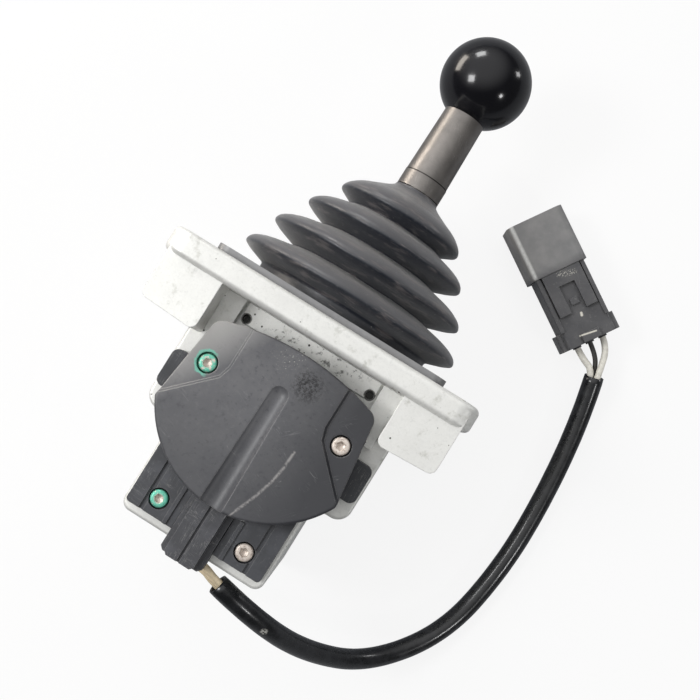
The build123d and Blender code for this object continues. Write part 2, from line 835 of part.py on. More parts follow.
cover_screws = cap_screws(
    Plane.XY.offset(cover_screw_seat),
    cover_screw_spots,
    screw_length,
    screw_head_height,
    screw_hexagon_depth,
)

# Sensor: a magnet turning with the shaft under a fixed board
with BuildPart() as magnet_holder:
    holder_low = shaft_front - holder_grip
    holder_height = magnet_level + magnet_thickness - holder_low
    disc(Plane.XY.offset(holder_low), holder_diameter, holder_height)
    disc(Plane.XY.offset(holder_low), shaft_bore, holder_grip, Mode.SUBTRACT)
    magnet_bore = magnet_diameter + 2 * fit_clearance
    disc(Plane.XY.offset(magnet_level), magnet_bore, magnet_thickness, Mode.SUBTRACT)

with BuildPart() as sensor_magnet:
    disc(Plane.XY.offset(magnet_level), magnet_diameter, magnet_thickness)

with BuildPart() as sensor_board:
    block(Plane.XY.offset(board_level), board_width, board_height, board_thickness)
    disc(Plane.XY.offset(board_level + board_thickness), magnet_diameter, board_thickness)

# Lower plate over the spring block, slotted for the trough
with BuildPart() as lower_plate:
    plate_middle = (plate_top + plate_low) / 2
    with BuildSketch(front):
        with Locations((0, plate_middle)):
            RectangleRounded(2 * plate_half, plate_top - plate_low, plate_corner)
        with Locations((0, trough_top + seat_gap)):
            Rectangle(notch_width, cover_radius, align=(Align.CENTER, Align.MAX), mode=Mode.SUBTRACT)
    extrude(amount=base_thickness)
    face = Plane.XY.offset(plate_level)
    strip_length = -cover_radius - plate_low
    strip_middle = (plate_low - cover_radius) / 2
    groove_spots = [(side * plate_groove_spot, plate_middle) for side in (-1, 1)]
    rib_spots = [(side * plate_rib_spot, strip_middle) for side in (-1, 1)]
    groove_length = plate_top - plate_low
    block(
        face,
        plate_groove_width,
        groove_length,
        -plate_groove_depth,
        mode=Mode.SUBTRACT,
        spots=groove_spots,
    )
    block(face, plate_rib_width, strip_length, plate_rib_height, spots=rib_spots)
    plate_seat_depth = screw_head_height - seat_gap
    disc(face, counterbore_diameter, -plate_seat_depth, Mode.SUBTRACT, plate_screw_spots)
    disc(face, hole_diameter, -base_thickness, Mode.SUBTRACT, plate_screw_spots)

plate_screws = cap_screws(
    Plane.XY.offset(plate_level - plate_seat_depth),
    plate_screw_spots,
    screw_length,
    screw_head_height,
    screw_hexagon_depth,
)

# Cable trough: a hat section with a creased crown, open underneath
with BuildPart() as cable_trough:
    trough_length = trough_top - trough_low
    trough_middle = (trough_top + trough_low) / 2
    trough_spot = ((0, trough_middle),)
    for half_width, height in (
        (trough_half, trough_flank_height),
        (trough_crown_half, trough_crown_height),
    ):
        with BuildSketch(front):
            with Locations(*trough_spot):
                Rectangle(2 * half_width, trough_length)
            chamfer(vertices().group_by(Axis.Y)[0], trough_chamfer)
        extrude(amount=height)
    crown = front.offset(trough_crown_height)
    block(crown, trough_crease, trough_length, -trough_crease, 0.0, Mode.SUBTRACT, trough_spot)
    channel_width = 2 * trough_channel_half
    block(front, channel_width, trough_length, trough_channel_height, 0.0, Mode.SUBTRACT, trough_spot)

# Lead wires from the board through the trough to the sleeve
sleeve_start = Vector(sleeve_route[0])
start_heading = (Vector(sleeve_route[1]) - sleeve_start).normalized()
start_side = Vector(0, 0, 1).cross(start_heading).normalized()
wire_steps = (-1, 0, 1)
with BuildPart() as exit_wires:
    for step in wire_steps:
        lane = step * wire_pitch
        entry = sleeve_start + start_side * lane
        board_edge = (lane, -board_height / 2 - seat_gap, board_level + board_thickness / 2)
        in_trough = [(lane, y, z) for y, z in trough_route]
        bend = (exit_bend[0] + exit_lane[0] * step, exit_bend[1] + exit_lane[1] * step, exit_bend[2])
        lead_in = tuple(entry - start_heading * wire_lead)
        add_tube([board_edge, *in_trough, bend, lead_in, tuple(entry)], wire_diameter)

with BuildPart() as harness_sleeve:
    sleeve_length = add_tube(sleeve_route, sleeve_diameter)

# Connector: a hooded housing with its lock, wire seal and three pins
heading = Vector(*connector_heading, 0).normalized()
across = Vector(0, 0, 1).cross(heading)
connector_middle = Vector(*connector_centre, shroud_height / 2)


def connector_plane(along, height=0.0):
    """The plane across the connector this far along it, facing its mouth."""
    origin = connector_middle + heading * along + Vector(0, 0, height)
    return Plane(origin=origin, x_dir=across, z_dir=heading)


rear_end = -connector_length / 2
mouth_end = connector_length / 2
shroud_rear = mouth_end - shroud_length
shroud_floor = mouth_end - shroud_depth
tail_length = shroud_rear - rear_end
tail_top = tail_height / 2
terminal_spots = [(step * terminal_pitch, 0) for step in wire_steps]
with BuildPart() as connector_housing:
    block(connector_plane(shroud_rear), shroud_width, shroud_height, shroud_length, shroud_corner)
    block(connector_plane(rear_end), tail_width, tail_height, tail_length, tail_corner)
    block(connector_plane(rear_end), rear_lug_width, rear_lug_height, rear_lug_length, tail_corner)
    plate_rear = shroud_rear - lug_plate_length
    plate_plane = connector_plane(plate_rear, tail_top + lug_plate_rise / 2)
    block(plate_plane, lug_plate_width, lug_plate_rise, lug_plate_length)
    block(
        plate_plane, latch_width, lug_plate_rise, latch_length, mode=Mode.SUBTRACT
    )
    nose_plane = connector_plane(plate_rear + latch_nose_length, tail_top + latch_nose_rise / 2)
    block(nose_plane, latch_width / 2, latch_nose_rise, latch_nose_length)
    rail_spot = (tail_width - rail_width) / 2
    rail_plane = connector_plane(rear_end + rear_lug_length, tail_top + rail_rise / 2)
    rail_length = tail_length - rear_lug_length
    block(rail_plane, rail_width, rail_rise, rail_length, spots=((-rail_spot, 0), (rail_spot, 0)))
    mouth_width = shroud_width - 2 * shroud_wall
    mouth_height = shroud_height - 2 * shroud_wall
    mouth_corner = shroud_corner - shroud_wall
    mouth_plane = connector_plane(shroud_floor)
    block(mouth_plane, mouth_width, mouth_height, shroud_depth, mouth_corner, Mode.SUBTRACT)
    terminal_run = shroud_floor - rear_end
    disc(connector_plane(rear_end), terminal_bore_diameter, terminal_run, Mode.SUBTRACT, terminal_spots)
    block(connector_plane(rear_end), seal_width, seal_height, seal_length, 0.0, Mode.SUBTRACT)

with BuildPart() as wire_seal:
    seal_plane = connector_plane(rear_end)
    seal_gap = 2 * seat_gap
    block(seal_plane, seal_width - seal_gap, seal_height - seal_gap, seal_length - seat_gap)
    disc(seal_plane, seal_collar_diameter, -seal_collar_length, spots=terminal_spots)

with BuildPart() as connector_lock:
    lock_plane = connector_plane(rear_end + seat_gap, tail_top + lock_rise / 2)
    block(lock_plane, lock_width, lock_rise, lock_length)

with BuildPart() as connector_pins:
    pin_rear = rear_end + seal_length + seat_gap
    pin_front = pin_rear + terminal_length
    disc(connector_plane(pin_rear), terminal_diameter, terminal_length, spots=terminal_spots)
    pin_tip = shroud_floor + pin_blade_length - pin_front
    disc(connector_plane(pin_front), pin_blade_diameter, pin_tip, spots=terminal_spots)

# Short wires from the sleeve's far end into the connector's seal
sleeve_end = Vector(sleeve_route[-1])
end_heading = (sleeve_end - Vector(sleeve_route[-2])).normalized()
end_side = end_heading.cross(Vector(0, 0, 1)).normalized()
seal_face = connector_middle + heading * (rear_end - seal_collar_length)
with BuildPart() as plug_wires:
    for step in wire_steps:
        leave = sleeve_end + end_side * (step * wire_pitch)
        arrive = seal_face - across * (step * terminal_pitch)
        lead_out = tuple(leave + end_heading * wire_lead)
        lead_in = tuple(arrive - heading * wire_lead)
        add_tube([tuple(leave), lead_out, lead_in, tuple(arrive)], wire_diameter)

pieces = {
    "housing_casting": housing_casting,
    "rear_cover": rear_cover,
    "rear_gasket": rear_gasket,
    "rear_cover_screws": rear_cover_screws,
    "front_bushing": front_bushing,
    "rear_bushing": rear_bushing,
    "pivot_shaft": pivot_shaft,
    "retaining_ring": retaining_ring,
    "thrust_spacers": thrust_spacers,
    "lever_hub": lever_hub,
    "hub_pins": hub_pins,
    "lever_rod": lever_rod,
    "lower_collar": lower_collar,
    "handle_tube": handle_tube,
    "ball_knob": ball_knob,
    "boot": boot,
    "boot_retainer": boot_retainer,
    "retainer_screws": retainer_screws,
    "plunger_left": plunger_left,
    "plunger_right": plunger_right,
    "spring_left": spring_left,
    "spring_right": spring_right,
    "sensor_base": sensor_base,
    "sensor_cover": sensor_cover,
    "cover_screws": cover_screws,
    "lower_plate": lower_plate,
    "plate_screws": plate_screws,
    "cable_trough": cable_trough,
    "sensor_board": sensor_board,
    "magnet_holder": magnet_holder,
    "sensor_magnet": sensor_magnet,
    "exit_wires": exit_wires,
    "harness_sleeve": harness_sleeve,
    "plug_wires": plug_wires,
    "connector_housing": connector_housing,
    "connector_lock": connector_lock,
    "connector_pins": connector_pins,
    "wire_seal": wire_seal,
}
os.makedirs("parts", exist_ok=True)
for name, piece in pieces.items():
    piece.part.label = name
    export_step(piece.part, f"parts/{name}.step")

sleeve_volume = math.pi * sleeve_diameter**2 / 4 * sleeve_length
print("sleeve bend radii", [round(radius, 1) for radius in bend_radii(sleeve_route)])
print("sleeve length", round(sleeve_length, 1))
print("sleeve volume over section times length", harness_sleeve.part.volume / sleeve_volume)
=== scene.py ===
"""A single-axis electronic control lever with its sealed lead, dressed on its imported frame."""

import math

import bpy
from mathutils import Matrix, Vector, noise


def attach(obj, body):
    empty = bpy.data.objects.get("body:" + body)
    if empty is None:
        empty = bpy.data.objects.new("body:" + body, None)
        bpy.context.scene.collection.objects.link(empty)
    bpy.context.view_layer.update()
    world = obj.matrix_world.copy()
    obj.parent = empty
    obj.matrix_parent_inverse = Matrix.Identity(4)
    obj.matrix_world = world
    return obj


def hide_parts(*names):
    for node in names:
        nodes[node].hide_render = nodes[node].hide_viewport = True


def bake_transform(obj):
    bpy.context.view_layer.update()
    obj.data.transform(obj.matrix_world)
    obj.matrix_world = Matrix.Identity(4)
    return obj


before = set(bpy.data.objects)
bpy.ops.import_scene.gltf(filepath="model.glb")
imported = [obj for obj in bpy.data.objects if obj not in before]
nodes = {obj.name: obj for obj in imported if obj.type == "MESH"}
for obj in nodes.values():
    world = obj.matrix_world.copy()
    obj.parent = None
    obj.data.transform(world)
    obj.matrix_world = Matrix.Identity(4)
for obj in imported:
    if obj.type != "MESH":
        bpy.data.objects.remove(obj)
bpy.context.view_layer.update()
scene = bpy.context.scene
MM = 0.001

# Places and sizes of the object, in millimetres: X across, Y along the lever, Z out of the rest face.

AXIS = 56.0
JOINT_LINE = 109.5

# Screws. Two carry paint, and each of those has the noise level at which its paint starts.
PAINT_SPOTS = [((-29.0, 0.0), 0.40), ((-19.0, -53.4), 0.30)]
COVER_SCREW = (29, 0)
COVER_SCREW_SEAT = 101.4
PLATE_SCREW = (19, -53.4)
PLATE_SCREW_SEAT = 90.4
RETAINER_SCREW = 43.0

# Marks on the casting and on the sensor cover, and the pad holes whose mouths are painted black as painted
# shade.
WEB = (2.0, 24.0, 96.0)
WEB_TOP = 27.0
PAD_HOLE = (27.7, 21.5)
COVER_FACE = 107.0
DUSTY_SPOT = (-3.0, 18.0, COVER_FACE)
RUBBED_SPOT = (7.5, 12.2, COVER_FACE)
LONG_MARK = [(15.8, -10.9), (15.5, -17.8), (14.5, -24.1), (12.2, -31.9), (9.0, -40.0)]
SIDE_MARK = [(11.3, -33.9), (7.6, -43.6)]
EDGE_CHIP = [(8.6, -44.4), (13.6, -42.2)]

# The boot: its seat on the flange, then its neck, rims and valleys as (y, radius).
SEAT = 37.6
NECK = (99.6, 12.2)
RIMS = [(89.3, 28.2), (76.9, 36.6), (63.3, 44.2), (50.0, 49.9)]
VALLEYS = [(84.6, 20.7), (71.2, 25.4), (57.3, 31.0), (44.8, 39.0)]
BASE_HALF = 48.2
BASE_OPENING = 40.7
BASE_LEVELS = (SEAT + 0.05, SEAT + 1.75)
ROUND_STEPS = 160

# The lead: its route, then its wires in the trough, in the sleeve's ends and at the seal.
SLEEVE_RADIUS = 4.4
SLEEVE_NICK = (41.5, -79.0, 73.5)
ROUTE = [
    (16.1, -71.2, 80.5), (34.5, -76.1, 75.8), (59.7, -82.0, 47.2), (86.7, -77.1, 19.6), (110.1, -50.2, 4.6),
    (116.8, -12.0, 4.8), (116.4, 25.4, 4.6), (111.8, 63.9, 6.0), (106.5, 82.1, 11.1),
]
TROUGH = [(-12.3, 98.8), (-26.0, 97.0), (-38.0, 95.6), (-52.0, 92.5), (-66.8, 90.7)]
TROUGH_LIP = (-67.6, 84.4)
TROUGH_BEND = (9.4, -68.2, 83.5)
LANE = 2.5
ROW = (1.25, 1.75)
EXIT_WIRE_RADIUS = 1.2
PLUG_WIRE_RADIUS = 1.45
BLACK_WIRE_RADIUS = 1.1
TRIANGLE = (1.45, 1.65)
TERMINAL_PITCH = 6.2
SEAL = (97.12, 94.04, 11.5)
BEFORE_SLEEVE = 3.0
INTO_SLEEVE = 6.0
AFTER_SLEEVE = 2.5
BEFORE_SEAL = 5.0
INTO_SEAL = 2.5

# The connector's direction, its hood, its painted highlights and the scuffs on it.
CONNECTOR_WAY = (-0.838, 0.546, 0)
CONNECTOR_SIDE = (-0.546, -0.838, 0)
HOOD_START = (67.8, 113.1, 0)
HOOD_MIDDLE = (71.4, 110.8, 0)
HOOD_EDGE = 11.4
LOCK_GLINT = [(86.1, 101.9), (86.8, 101.2)]
REAR_GLINT = [(90.9, 92.9), (95.4, 98.3)]
HOOD_SCUFF = [(69.0, 111.0), (73.6, 115.4)]


def mm(*values):
    return tuple(value * MM for value in values)


# Shader nodes. Stretched by FLAT, a place keeps its X and Y alone.

FLAT = (1, 1, 0)


def node(tree, kind, **values):
    """A new shader node with these inputs set; in their names _ stands for a space."""
    made = tree.nodes.new("ShaderNode" + kind)
    for key, value in values.items():
        made.inputs[key.replace("_", " ")].default_value = value
    return made


def join(tree, *pairs):
    """Link each pair of an output and an input."""
    for source, target in pairs:
        tree.links.new(source, target)


class Look:
    """One procedural material. Places inside it are in millimetres of the object's own frame."""

    def __init__(self, name, **sockets):
        self.material = bpy.data.materials.new(name)
        self.material.use_nodes = True
        self.tree = self.material.node_tree
        self.shader = self.tree.nodes["Principled BSDF"]
        for key, value in sockets.items():
            self.shader.inputs[key.replace("_", " ")].default_value = value
        coordinates = node(self.tree, "TexCoord")
        self.facing = coordinates.outputs["Normal"]
        self.place = self.vector("SCALE", coordinates.outputs["Object"], scale=1 / MM)

    def feed(self, socket, value):
        """Link the socket to another node's output, or give it a constant."""
        if isinstance(value, bpy.types.NodeSocket):
            join(self.tree, (value, socket))
        elif isinstance(value, (tuple, list)) and len(socket.default_value) == 4:
            socket.default_value = (*value[:3], 1)
        else:
            socket.default_value = value

    def math(self, operation, a, b=0.0, c=0.0, clamp=False):
        made = node(self.tree, "Math")
        made.operation = operation
        made.use_clamp = clamp
        for socket, value in zip(made.inputs, (a, b, c)):
            self.feed(socket, value)
        return made.outputs[0]

    def vector(self, operation, *values, scale=None):
        """Vector maths; a dot product, a distance or a length comes out as a number."""
        made = node(self.tree, "VectorMath")
        made.operation = operation
        for socket, value in zip(made.inputs, values):
            self.feed(socket, value)
        if scale is not None:
            self.feed(made.inputs["Scale"], scale)
        return made.outputs["Value" if operation in ("DOT_PRODUCT", "DISTANCE", "LENGTH") else "Vector"]

    def axis(self, name, place=None):
        made = node(self.tree, "SeparateXYZ")
        self.feed(made.inputs[0], place or self.place)
        return made.outputs[name]

    def moved(self, offset=(0, 0, 0), turn=0.0, stretch=(1, 1, 1)):
        """The place moved by -offset, turned about Z by turn degrees and stretched."""
        mapping = node(self.tree, "Mapping", Rotation=(0, 0, math.radians(turn)))
        self.feed(mapping.inputs[0], self.vector("SUBTRACT", self.place, offset))
        return self.vector("MULTIPLY", mapping.outputs[0], stretch)

    def noise(self, size, detail=4.0, rough=0.55, place=None, distortion=0.0):
        """Cloudy noise whose patches are about this many millimetres wide."""
        made = node(self.tree, "TexNoise", Scale=1.0 / size, Detail=detail, Roughness=rough)
        made.inputs["Distortion"].default_value = distortion
        self.feed(made.inputs["Vector"], place or self.place)
        return made.outputs[0]

    def cells(self, size, output):
        """Scattered points this many millimetres apart: the Distance to one, or its own Color."""
        made = node(self.tree, "TexVoronoi", Scale=1.0 / size)
        self.feed(made.inputs["Vector"], self.place)
        return made.outputs[output]

    def range(self, value, low, high, out_low=0.0, out_high=1.0):
        made = node(self.tree, "MapRange", From_Min=low, From_Max=high, To_Min=out_low, To_Max=out_high)
        self.feed(made.inputs["Value"], value)
        return made.outputs[0]

    def mix(self, share, a, b):
        made = node(self.tree, "Mix")
        made.data_type = "RGBA"
        for index, value in ((0, share), (6, a), (7, b)):
            self.feed(made.inputs[index], value)
        return made.outputs[2]

    def over(self, shade, mask, strength, colour):
        """The shade with a colour laid over it where the mask is."""
        return self.mix(self.math("MULTIPLY", mask, strength), shade, colour)

    def patches(self, size, low, high, detail=4.0, rough=0.55, offset=None):
        """A mask of clouds this many millimetres wide, 0 where they are low and 1 where high."""
        place = self.moved(offset) if offset else None
        return self.range(self.noise(size, detail, rough, place), low, high)

    def wander(self, value, low, high):
        """A roughness that goes from low to high with a noise."""
        return self.range(value, 0.3, 0.7, low, high)

    def specks(self, size, rare, reach, outer, inner):
        """Round dots in the cells whose own value is past rare, soft from outer to inner."""
        chosen = self.range(self.cells(size, "Color"), rare, 1.0, 0.0, reach)
        return self.range(self.math("SUBTRACT", chosen, self.cells(size, "Distance")), outer, inner)

    def spot(self, centre, reach, soft, place=None):
        """1 inside a ball round the centre, fading out over soft millimetres."""
        return self.range(self.vector("DISTANCE", place or self.place, centre), reach + soft, reach)

    def stroke(self, start, end, half_width, soft):
        """1 along a straight mark between two points seen along Z, fading out past its width."""
        flat = self.moved((*start, 0), stretch=FLAT)
        run = Vector((end[0] - start[0], end[1] - start[1], 0))
        share = self.vector("DOT_PRODUCT", flat, run / run.length_squared)
        foot = self.vector("SCALE", run, scale=self.math("ADD", share, 0.0, clamp=True))
        return self.range(self.vector("DISTANCE", flat, foot), half_width + soft, half_width)

    def rounded(self, radius):
        """The surface's direction, with edges eased to this radius."""
        made = node(self.tree, "Bevel", Radius=radius * MM)
        made.samples = 4
        return made.outputs[0]

    def edges(self, radius, low=0.02, high=0.25):
        """1 along sharp edges, 0 on flat stretches."""
        straight = node(self.tree, "NewGeometry").outputs["Normal"]
        likeness = self.vector("DOT_PRODUCT", self.rounded(radius), straight)
        return self.range(self.math("SUBTRACT", 1.0, likeness), low, high)

    def scratches(self, turn, spacing, width=0.012, cover=0.5, seed=0.0):
        """Hairlines that run one way, broken up into patches."""
        along = self.moved((seed, seed * 1.7, 0), turn, (1.0 / 14, 1.0, 1.0 / 14))
        lines = self.noise(spacing, 2.0, 0.5, along, 0.3)
        thin = self.range(self.math("ABSOLUTE", self.math("SUBTRACT", lines, 0.5)), width, 0.0)
        broken = self.range(self.noise(9.0, 2.0, 0.5, self.moved((seed * 3, 0, 0))), cover, cover + 0.12)
        return self.math("MULTIPLY", thin, broken)

    def finish(self, colour, rough, height, depth, strength, normal=None):
        """Feed the shader, with bumps as deep as depth millimetres."""
        bump = node(self.tree, "Bump", Strength=strength, Distance=depth * MM)
        self.feed(bump.inputs["Height"], height)
        if normal is not None:
            self.feed(bump.inputs["Normal"], normal)
        self.feed(self.shader.inputs["Base Color"], colour)
        self.feed(self.shader.inputs["Roughness"], rough)
        self.feed(self.shader.inputs["Normal"], bump.outputs[0])
        return self.material


def scaled(colour, factor):
    return [value * factor for value in colour]


# Materials.

def web_pits_and_hole_shade(look):
    """Soot and close pits on the web under the flange, and painted shade: the mouths of its two pad holes
    painted black.
    """
    soot = look.patches(2.6, 0.56, 0.62, 5.0, 0.75, (2, 4, 9))
    soot = look.math("MULTIPLY", soot, look.spot(WEB, 17.0, 9.0))
    pits = look.math("MULTIPLY", look.specks(1.7, 0.58, 0.28, -0.01, 0.02), look.spot(WEB, 24.0, 8.0))
    pits = look.math("MAXIMUM", pits, look.math("MULTIPLY", soot, 0.7))
    pits = look.math("MULTIPLY", pits, look.range(look.axis("Y"), WEB_TOP + 0.6, WEB_TOP))
    flat = look.moved(stretch=FLAT)
    # Painted shade: the mouths of the two pad holes are painted black.
    for side in (-1, 1):
        mouth = look.spot((PAD_HOLE[0] * side, PAD_HOLE[1], 0), 2.0, 0.4, flat)
        pits = look.math("MAXIMUM", pits, mouth)
    return pits


def cast_metal(name, colour, dirt, web=False):
    """Die-cast aluminium: mottled and faintly sandy, with pores and grime; on the web also pits and painted
    shade in its two pad holes.
    """
    look = Look(name, Metallic=0.35)
    fine = look.noise(0.9, 4.0, 0.6)
    shade = look.mix(look.patches(22.0, 0.35, 0.7, 5.0, 0.6), colour, scaled(colour, 0.92))
    shade = look.mix(look.range(fine, 0.45, 0.75, 0.0, 0.25), shade, scaled(colour, 0.74))
    stain = look.patches(5.5, 0.58, 0.74, 6.0, 0.65, (31, 7, 3))
    shade = look.over(shade, stain, dirt, (0.34, 0.34, 0.28))
    grime = look.patches(2.2, 0.57, 0.68, 5.0, 0.7, (8, 21, 5))
    shade = look.over(shade, grime, 0.22 * dirt, (0.20, 0.21, 0.20))
    pores_and_hole_shade = look.specks(3.1, 0.62, 0.17, -0.02, 0.03)
    if web:
        pores_and_hole_shade = look.math("MAXIMUM", pores_and_hole_shade, web_pits_and_hole_shade(look))
    shade = look.mix(pores_and_hole_shade, shade, (0.05, 0.05, 0.045))
    shade = look.over(shade, look.edges(0.7), 0.5, (0.93, 0.93, 0.91))
    shade = look.over(shade, look.scratches(35, 1.4, 0.01, 0.48, 5.0), 0.35, (0.96, 0.96, 0.95))
    rough = look.wander(look.noise(4.0, 4.0, 0.6), 0.34, 0.52)
    height = look.math("SUBTRACT", look.math("MULTIPLY", fine, 0.35), pores_and_hole_shade)
    height = look.math("MULTIPLY_ADD", look.noise(3.2, 3.0), 0.5, height)
    return look.finish(shade, rough, height, 0.16, 0.55, look.rounded(0.5))


def plain_metal(name, colour, rough=0.3, metallic=1.0):
    """Turned or plated steel: fine directional marks and a little tarnish."""
    look = Look(name, Metallic=metallic)
    shade = look.over(colour, look.patches(6.0, 0.4, 0.75, 5.0, 0.6), 0.45, scaled(colour, 0.6))
    marks = look.noise(0.5, 3.0, 0.6, look.moved(stretch=(1.0, 6.0, 1.0)))
    spread = look.wander(marks, rough - 0.07, rough + 0.1)
    return look.finish(shade, spread, marks, 0.03, 0.3, look.rounded(0.25))


def plain_plastic(name, colour, rough=0.45, grain=0.35, depth=0.04):
    """A plain moulding, board or gasket with a fine grain."""
    look = Look(name)
    cloud = look.range(look.noise(7.0, 5.0, 0.6), 0.4, 0.7, 0.0, 0.5)
    shade = look.mix(cloud, colour, scaled(colour, 1.25))
    spread = look.wander(look.noise(2.4, 3.0), rough - 0.06, rough + 0.08)
    return look.finish(shade, spread, look.noise(grain, 3.0, 0.6), depth, 0.5, look.rounded(0.3))


def screw_steel(name, paint_spots):
    """Zinc-plated cap screws, chalky with age; a dab of green marking paint sits on some."""
    look = Look(name, Metallic=0.3)
    rings = look.noise(0.6, 4.0, 0.65)
    shade = look.mix(look.range(rings, 0.35, 0.7), (0.84, 0.77, 0.70), (0.56, 0.46, 0.39))
    shade = look.over(shade, look.patches(1.3, 0.56, 0.66, 4.0, 0.6, (11, 3, 9)), 0.6, (0.20, 0.14, 0.11))
    patchy = look.noise(1.1, 4.0, 0.65, look.moved((3, 19, 2)))
    green = look.mix(look.range(rings, 0.4, 0.7), (0.10, 0.50, 0.36), (0.26, 0.66, 0.50))
    for centre, low in paint_spots:
        away = look.vector("LENGTH", look.moved((*centre, 0), stretch=FLAT))
        ring = look.math("MULTIPLY", look.range(away, 3.9, 4.2, 1.0, 0.0), look.range(away, 1.5, 2.1))
        paint = look.math("MULTIPLY", ring, look.range(patchy, low, low + 0.07))
        shade = look.mix(paint, shade, green)
    return look.finish(shade, look.wander(rings, 0.30, 0.50), rings, 0.05, 0.4)


def scored_marks(look):
    """The long pale mark low on the cover and the short one beside it."""
    mark = look.stroke(*SIDE_MARK, 0.05, 0.45)
    for start, end in zip(LONG_MARK, LONG_MARK[1:]):
        mark = look.math("MAXIMUM", mark, look.stroke(start, end, 0.12, 0.65))
    return look.math("MULTIPLY", mark, look.patches(1.2, 0.34, 0.52, 4.0, 0.7, (6, 1, 8)))


def paint_smear(look):
    """Green paint that ran past the left screw's recess, on its left side."""
    flat = look.moved((*PAINT_SPOTS[0][0], 0), stretch=FLAT)
    away = look.vector("LENGTH", flat)
    smear = look.range(look.math("MULTIPLY_ADD", look.noise(2.5, 4.0, 0.7), 3.2, away), 6.9, 6.5)
    return look.math("MULTIPLY", smear, look.range(look.axis("X", flat), 2.4, 0.6))


def cover_plastic():
    """The sensor cover: dark moulded plastic, mottled, with rubs, pits, a few marks and paint, and with
    painted light on its upper left and painted shade to the right and low down.
    """
    look = Look("cover_plastic", Specular_IOR_Level=0.5)
    fine = look.noise(0.32, 3.0, 0.7)
    mid = look.noise(1.9, 5.0, 0.7, look.moved((4, 9, 0)))
    across = look.axis("X")
    along = look.axis("Y")
    shade = look.mix(look.patches(15.0, 0.35, 0.72, 6.0, 0.62), (0.103, 0.104, 0.113), (0.140, 0.140, 0.147))
    shade = look.mix(look.range(mid, 0.56, 0.70, 0.0, 0.28), shade, (0.20, 0.20, 0.205))
    shade = look.mix(look.range(mid, 0.44, 0.34, 0.0, 0.5), shade, (0.055, 0.055, 0.064))

    # Painted light: the upper left is painted paler; painted shade darkens the colour to the right and
    # towards the trough.
    painted_left_light = look.range(look.math("MULTIPLY_ADD", along, -0.6, across), -24.0, -52.0)
    shade = look.mix(painted_left_light, shade, (0.60, 0.585, 0.56))
    shade = look.mix(look.range(across, 0.0, 28.0, 0.0, 0.9), shade, (0.026, 0.027, 0.032))
    shade = look.mix(look.range(along, -4.0, -36.0, 0.0, 0.55), shade, (0.042, 0.043, 0.049))
    near = look.math("MULTIPLY", look.spot(DUSTY_SPOT, 3.0, 6.0), look.patches(0.7, 0.62, 0.68))
    dust = look.math("MAXIMUM", look.specks(2.9, 0.80, 0.12, 0.0, 0.03), near)
    shade = look.over(shade, dust, 0.8, (0.50, 0.49, 0.46))

    pits = look.patches(0.9, 0.46, 0.56, 4.0, 0.75, (1, 2, 3))
    rubbed = look.math("MULTIPLY", look.spot(RUBBED_SPOT, 2.6, 5.0), pits)
    shade = look.mix(rubbed, shade, (0.016, 0.016, 0.018))
    lines = look.scratches(20, 1.6, 0.006, 0.55, 1.0)
    lines = look.math("ADD", lines, look.scratches(-48, 2.1, 0.005, 0.57, 8.0))
    shade = look.over(shade, lines, 0.35, (0.33, 0.33, 0.33))
    mark = scored_marks(look)
    shade = look.over(shade, mark, 0.65, (0.40, 0.385, 0.375))
    chip = look.math("MULTIPLY", look.stroke(*EDGE_CHIP, 0.3, 0.5), look.range(fine, 0.40, 0.52))
    shade = look.mix(chip, shade, (0.72, 0.71, 0.68))
    edge_wear_and_highlight = look.edges(0.5, 0.03, 0.2)
    shade = look.over(shade, edge_wear_and_highlight, look.range(mid, 0.3, 0.6, 0.2, 0.7), (0.40, 0.40, 0.39))
    # Painted highlight: edges on the left are painted paler still, on top of the wear.
    shade = look.over(shade, edge_wear_and_highlight, look.range(across, -18.0, -26.0), (0.66, 0.64, 0.60))
    shade = look.over(shade, paint_smear(look), 0.8, (0.16, 0.56, 0.42))

    spread = look.math("SUBTRACT", look.wander(mid, 0.36, 0.48), look.math("MULTIPLY", lines, 0.08))
    height = look.math("SUBTRACT", look.math("MULTIPLY", fine, 0.35), look.math("MULTIPLY", rubbed, 1.8))
    height = look.math("ADD", height, look.math("MULTIPLY", mark, 0.5))
    return look.finish(shade, spread, height, 0.10, 0.6, look.rounded(0.8))


def plate_plastic(name, colour):
    """Sensor base, lower plate and trough: black moulding with dusty rubs and scuffed edges."""
    look = Look(name)
    shade = look.mix(look.patches(8.0, 0.42, 0.68, 5.0, 0.65), colour, scaled(colour, 1.6))
    shade = look.over(shade, look.patches(1.3, 0.60, 0.72, 5.0, 0.7, (5, 3, 1)), 0.4, (0.24, 0.24, 0.23))
    long_lines = look.scratches(88, 0.9, 0.012, 0.46, 3.0)
    lines = look.math("ADD", long_lines, look.scratches(10, 1.2, 0.010, 0.50, 6.0), clamp=True)
    shade = look.over(shade, lines, 0.5, (0.34, 0.34, 0.33))
    shade = look.over(shade, look.edges(0.5, 0.03, 0.25), 0.55, (0.26, 0.26, 0.26))
    fine = look.math("MULTIPLY", look.noise(0.4, 3.0, 0.7), 0.5)
    height = look.math("SUBTRACT", fine, look.math("MULTIPLY", lines, 0.4))
    spread = look.wander(look.noise(2.0, 3.0), 0.38, 0.54)
    return look.finish(shade, spread, height, 0.07, 0.5, look.rounded(0.35))


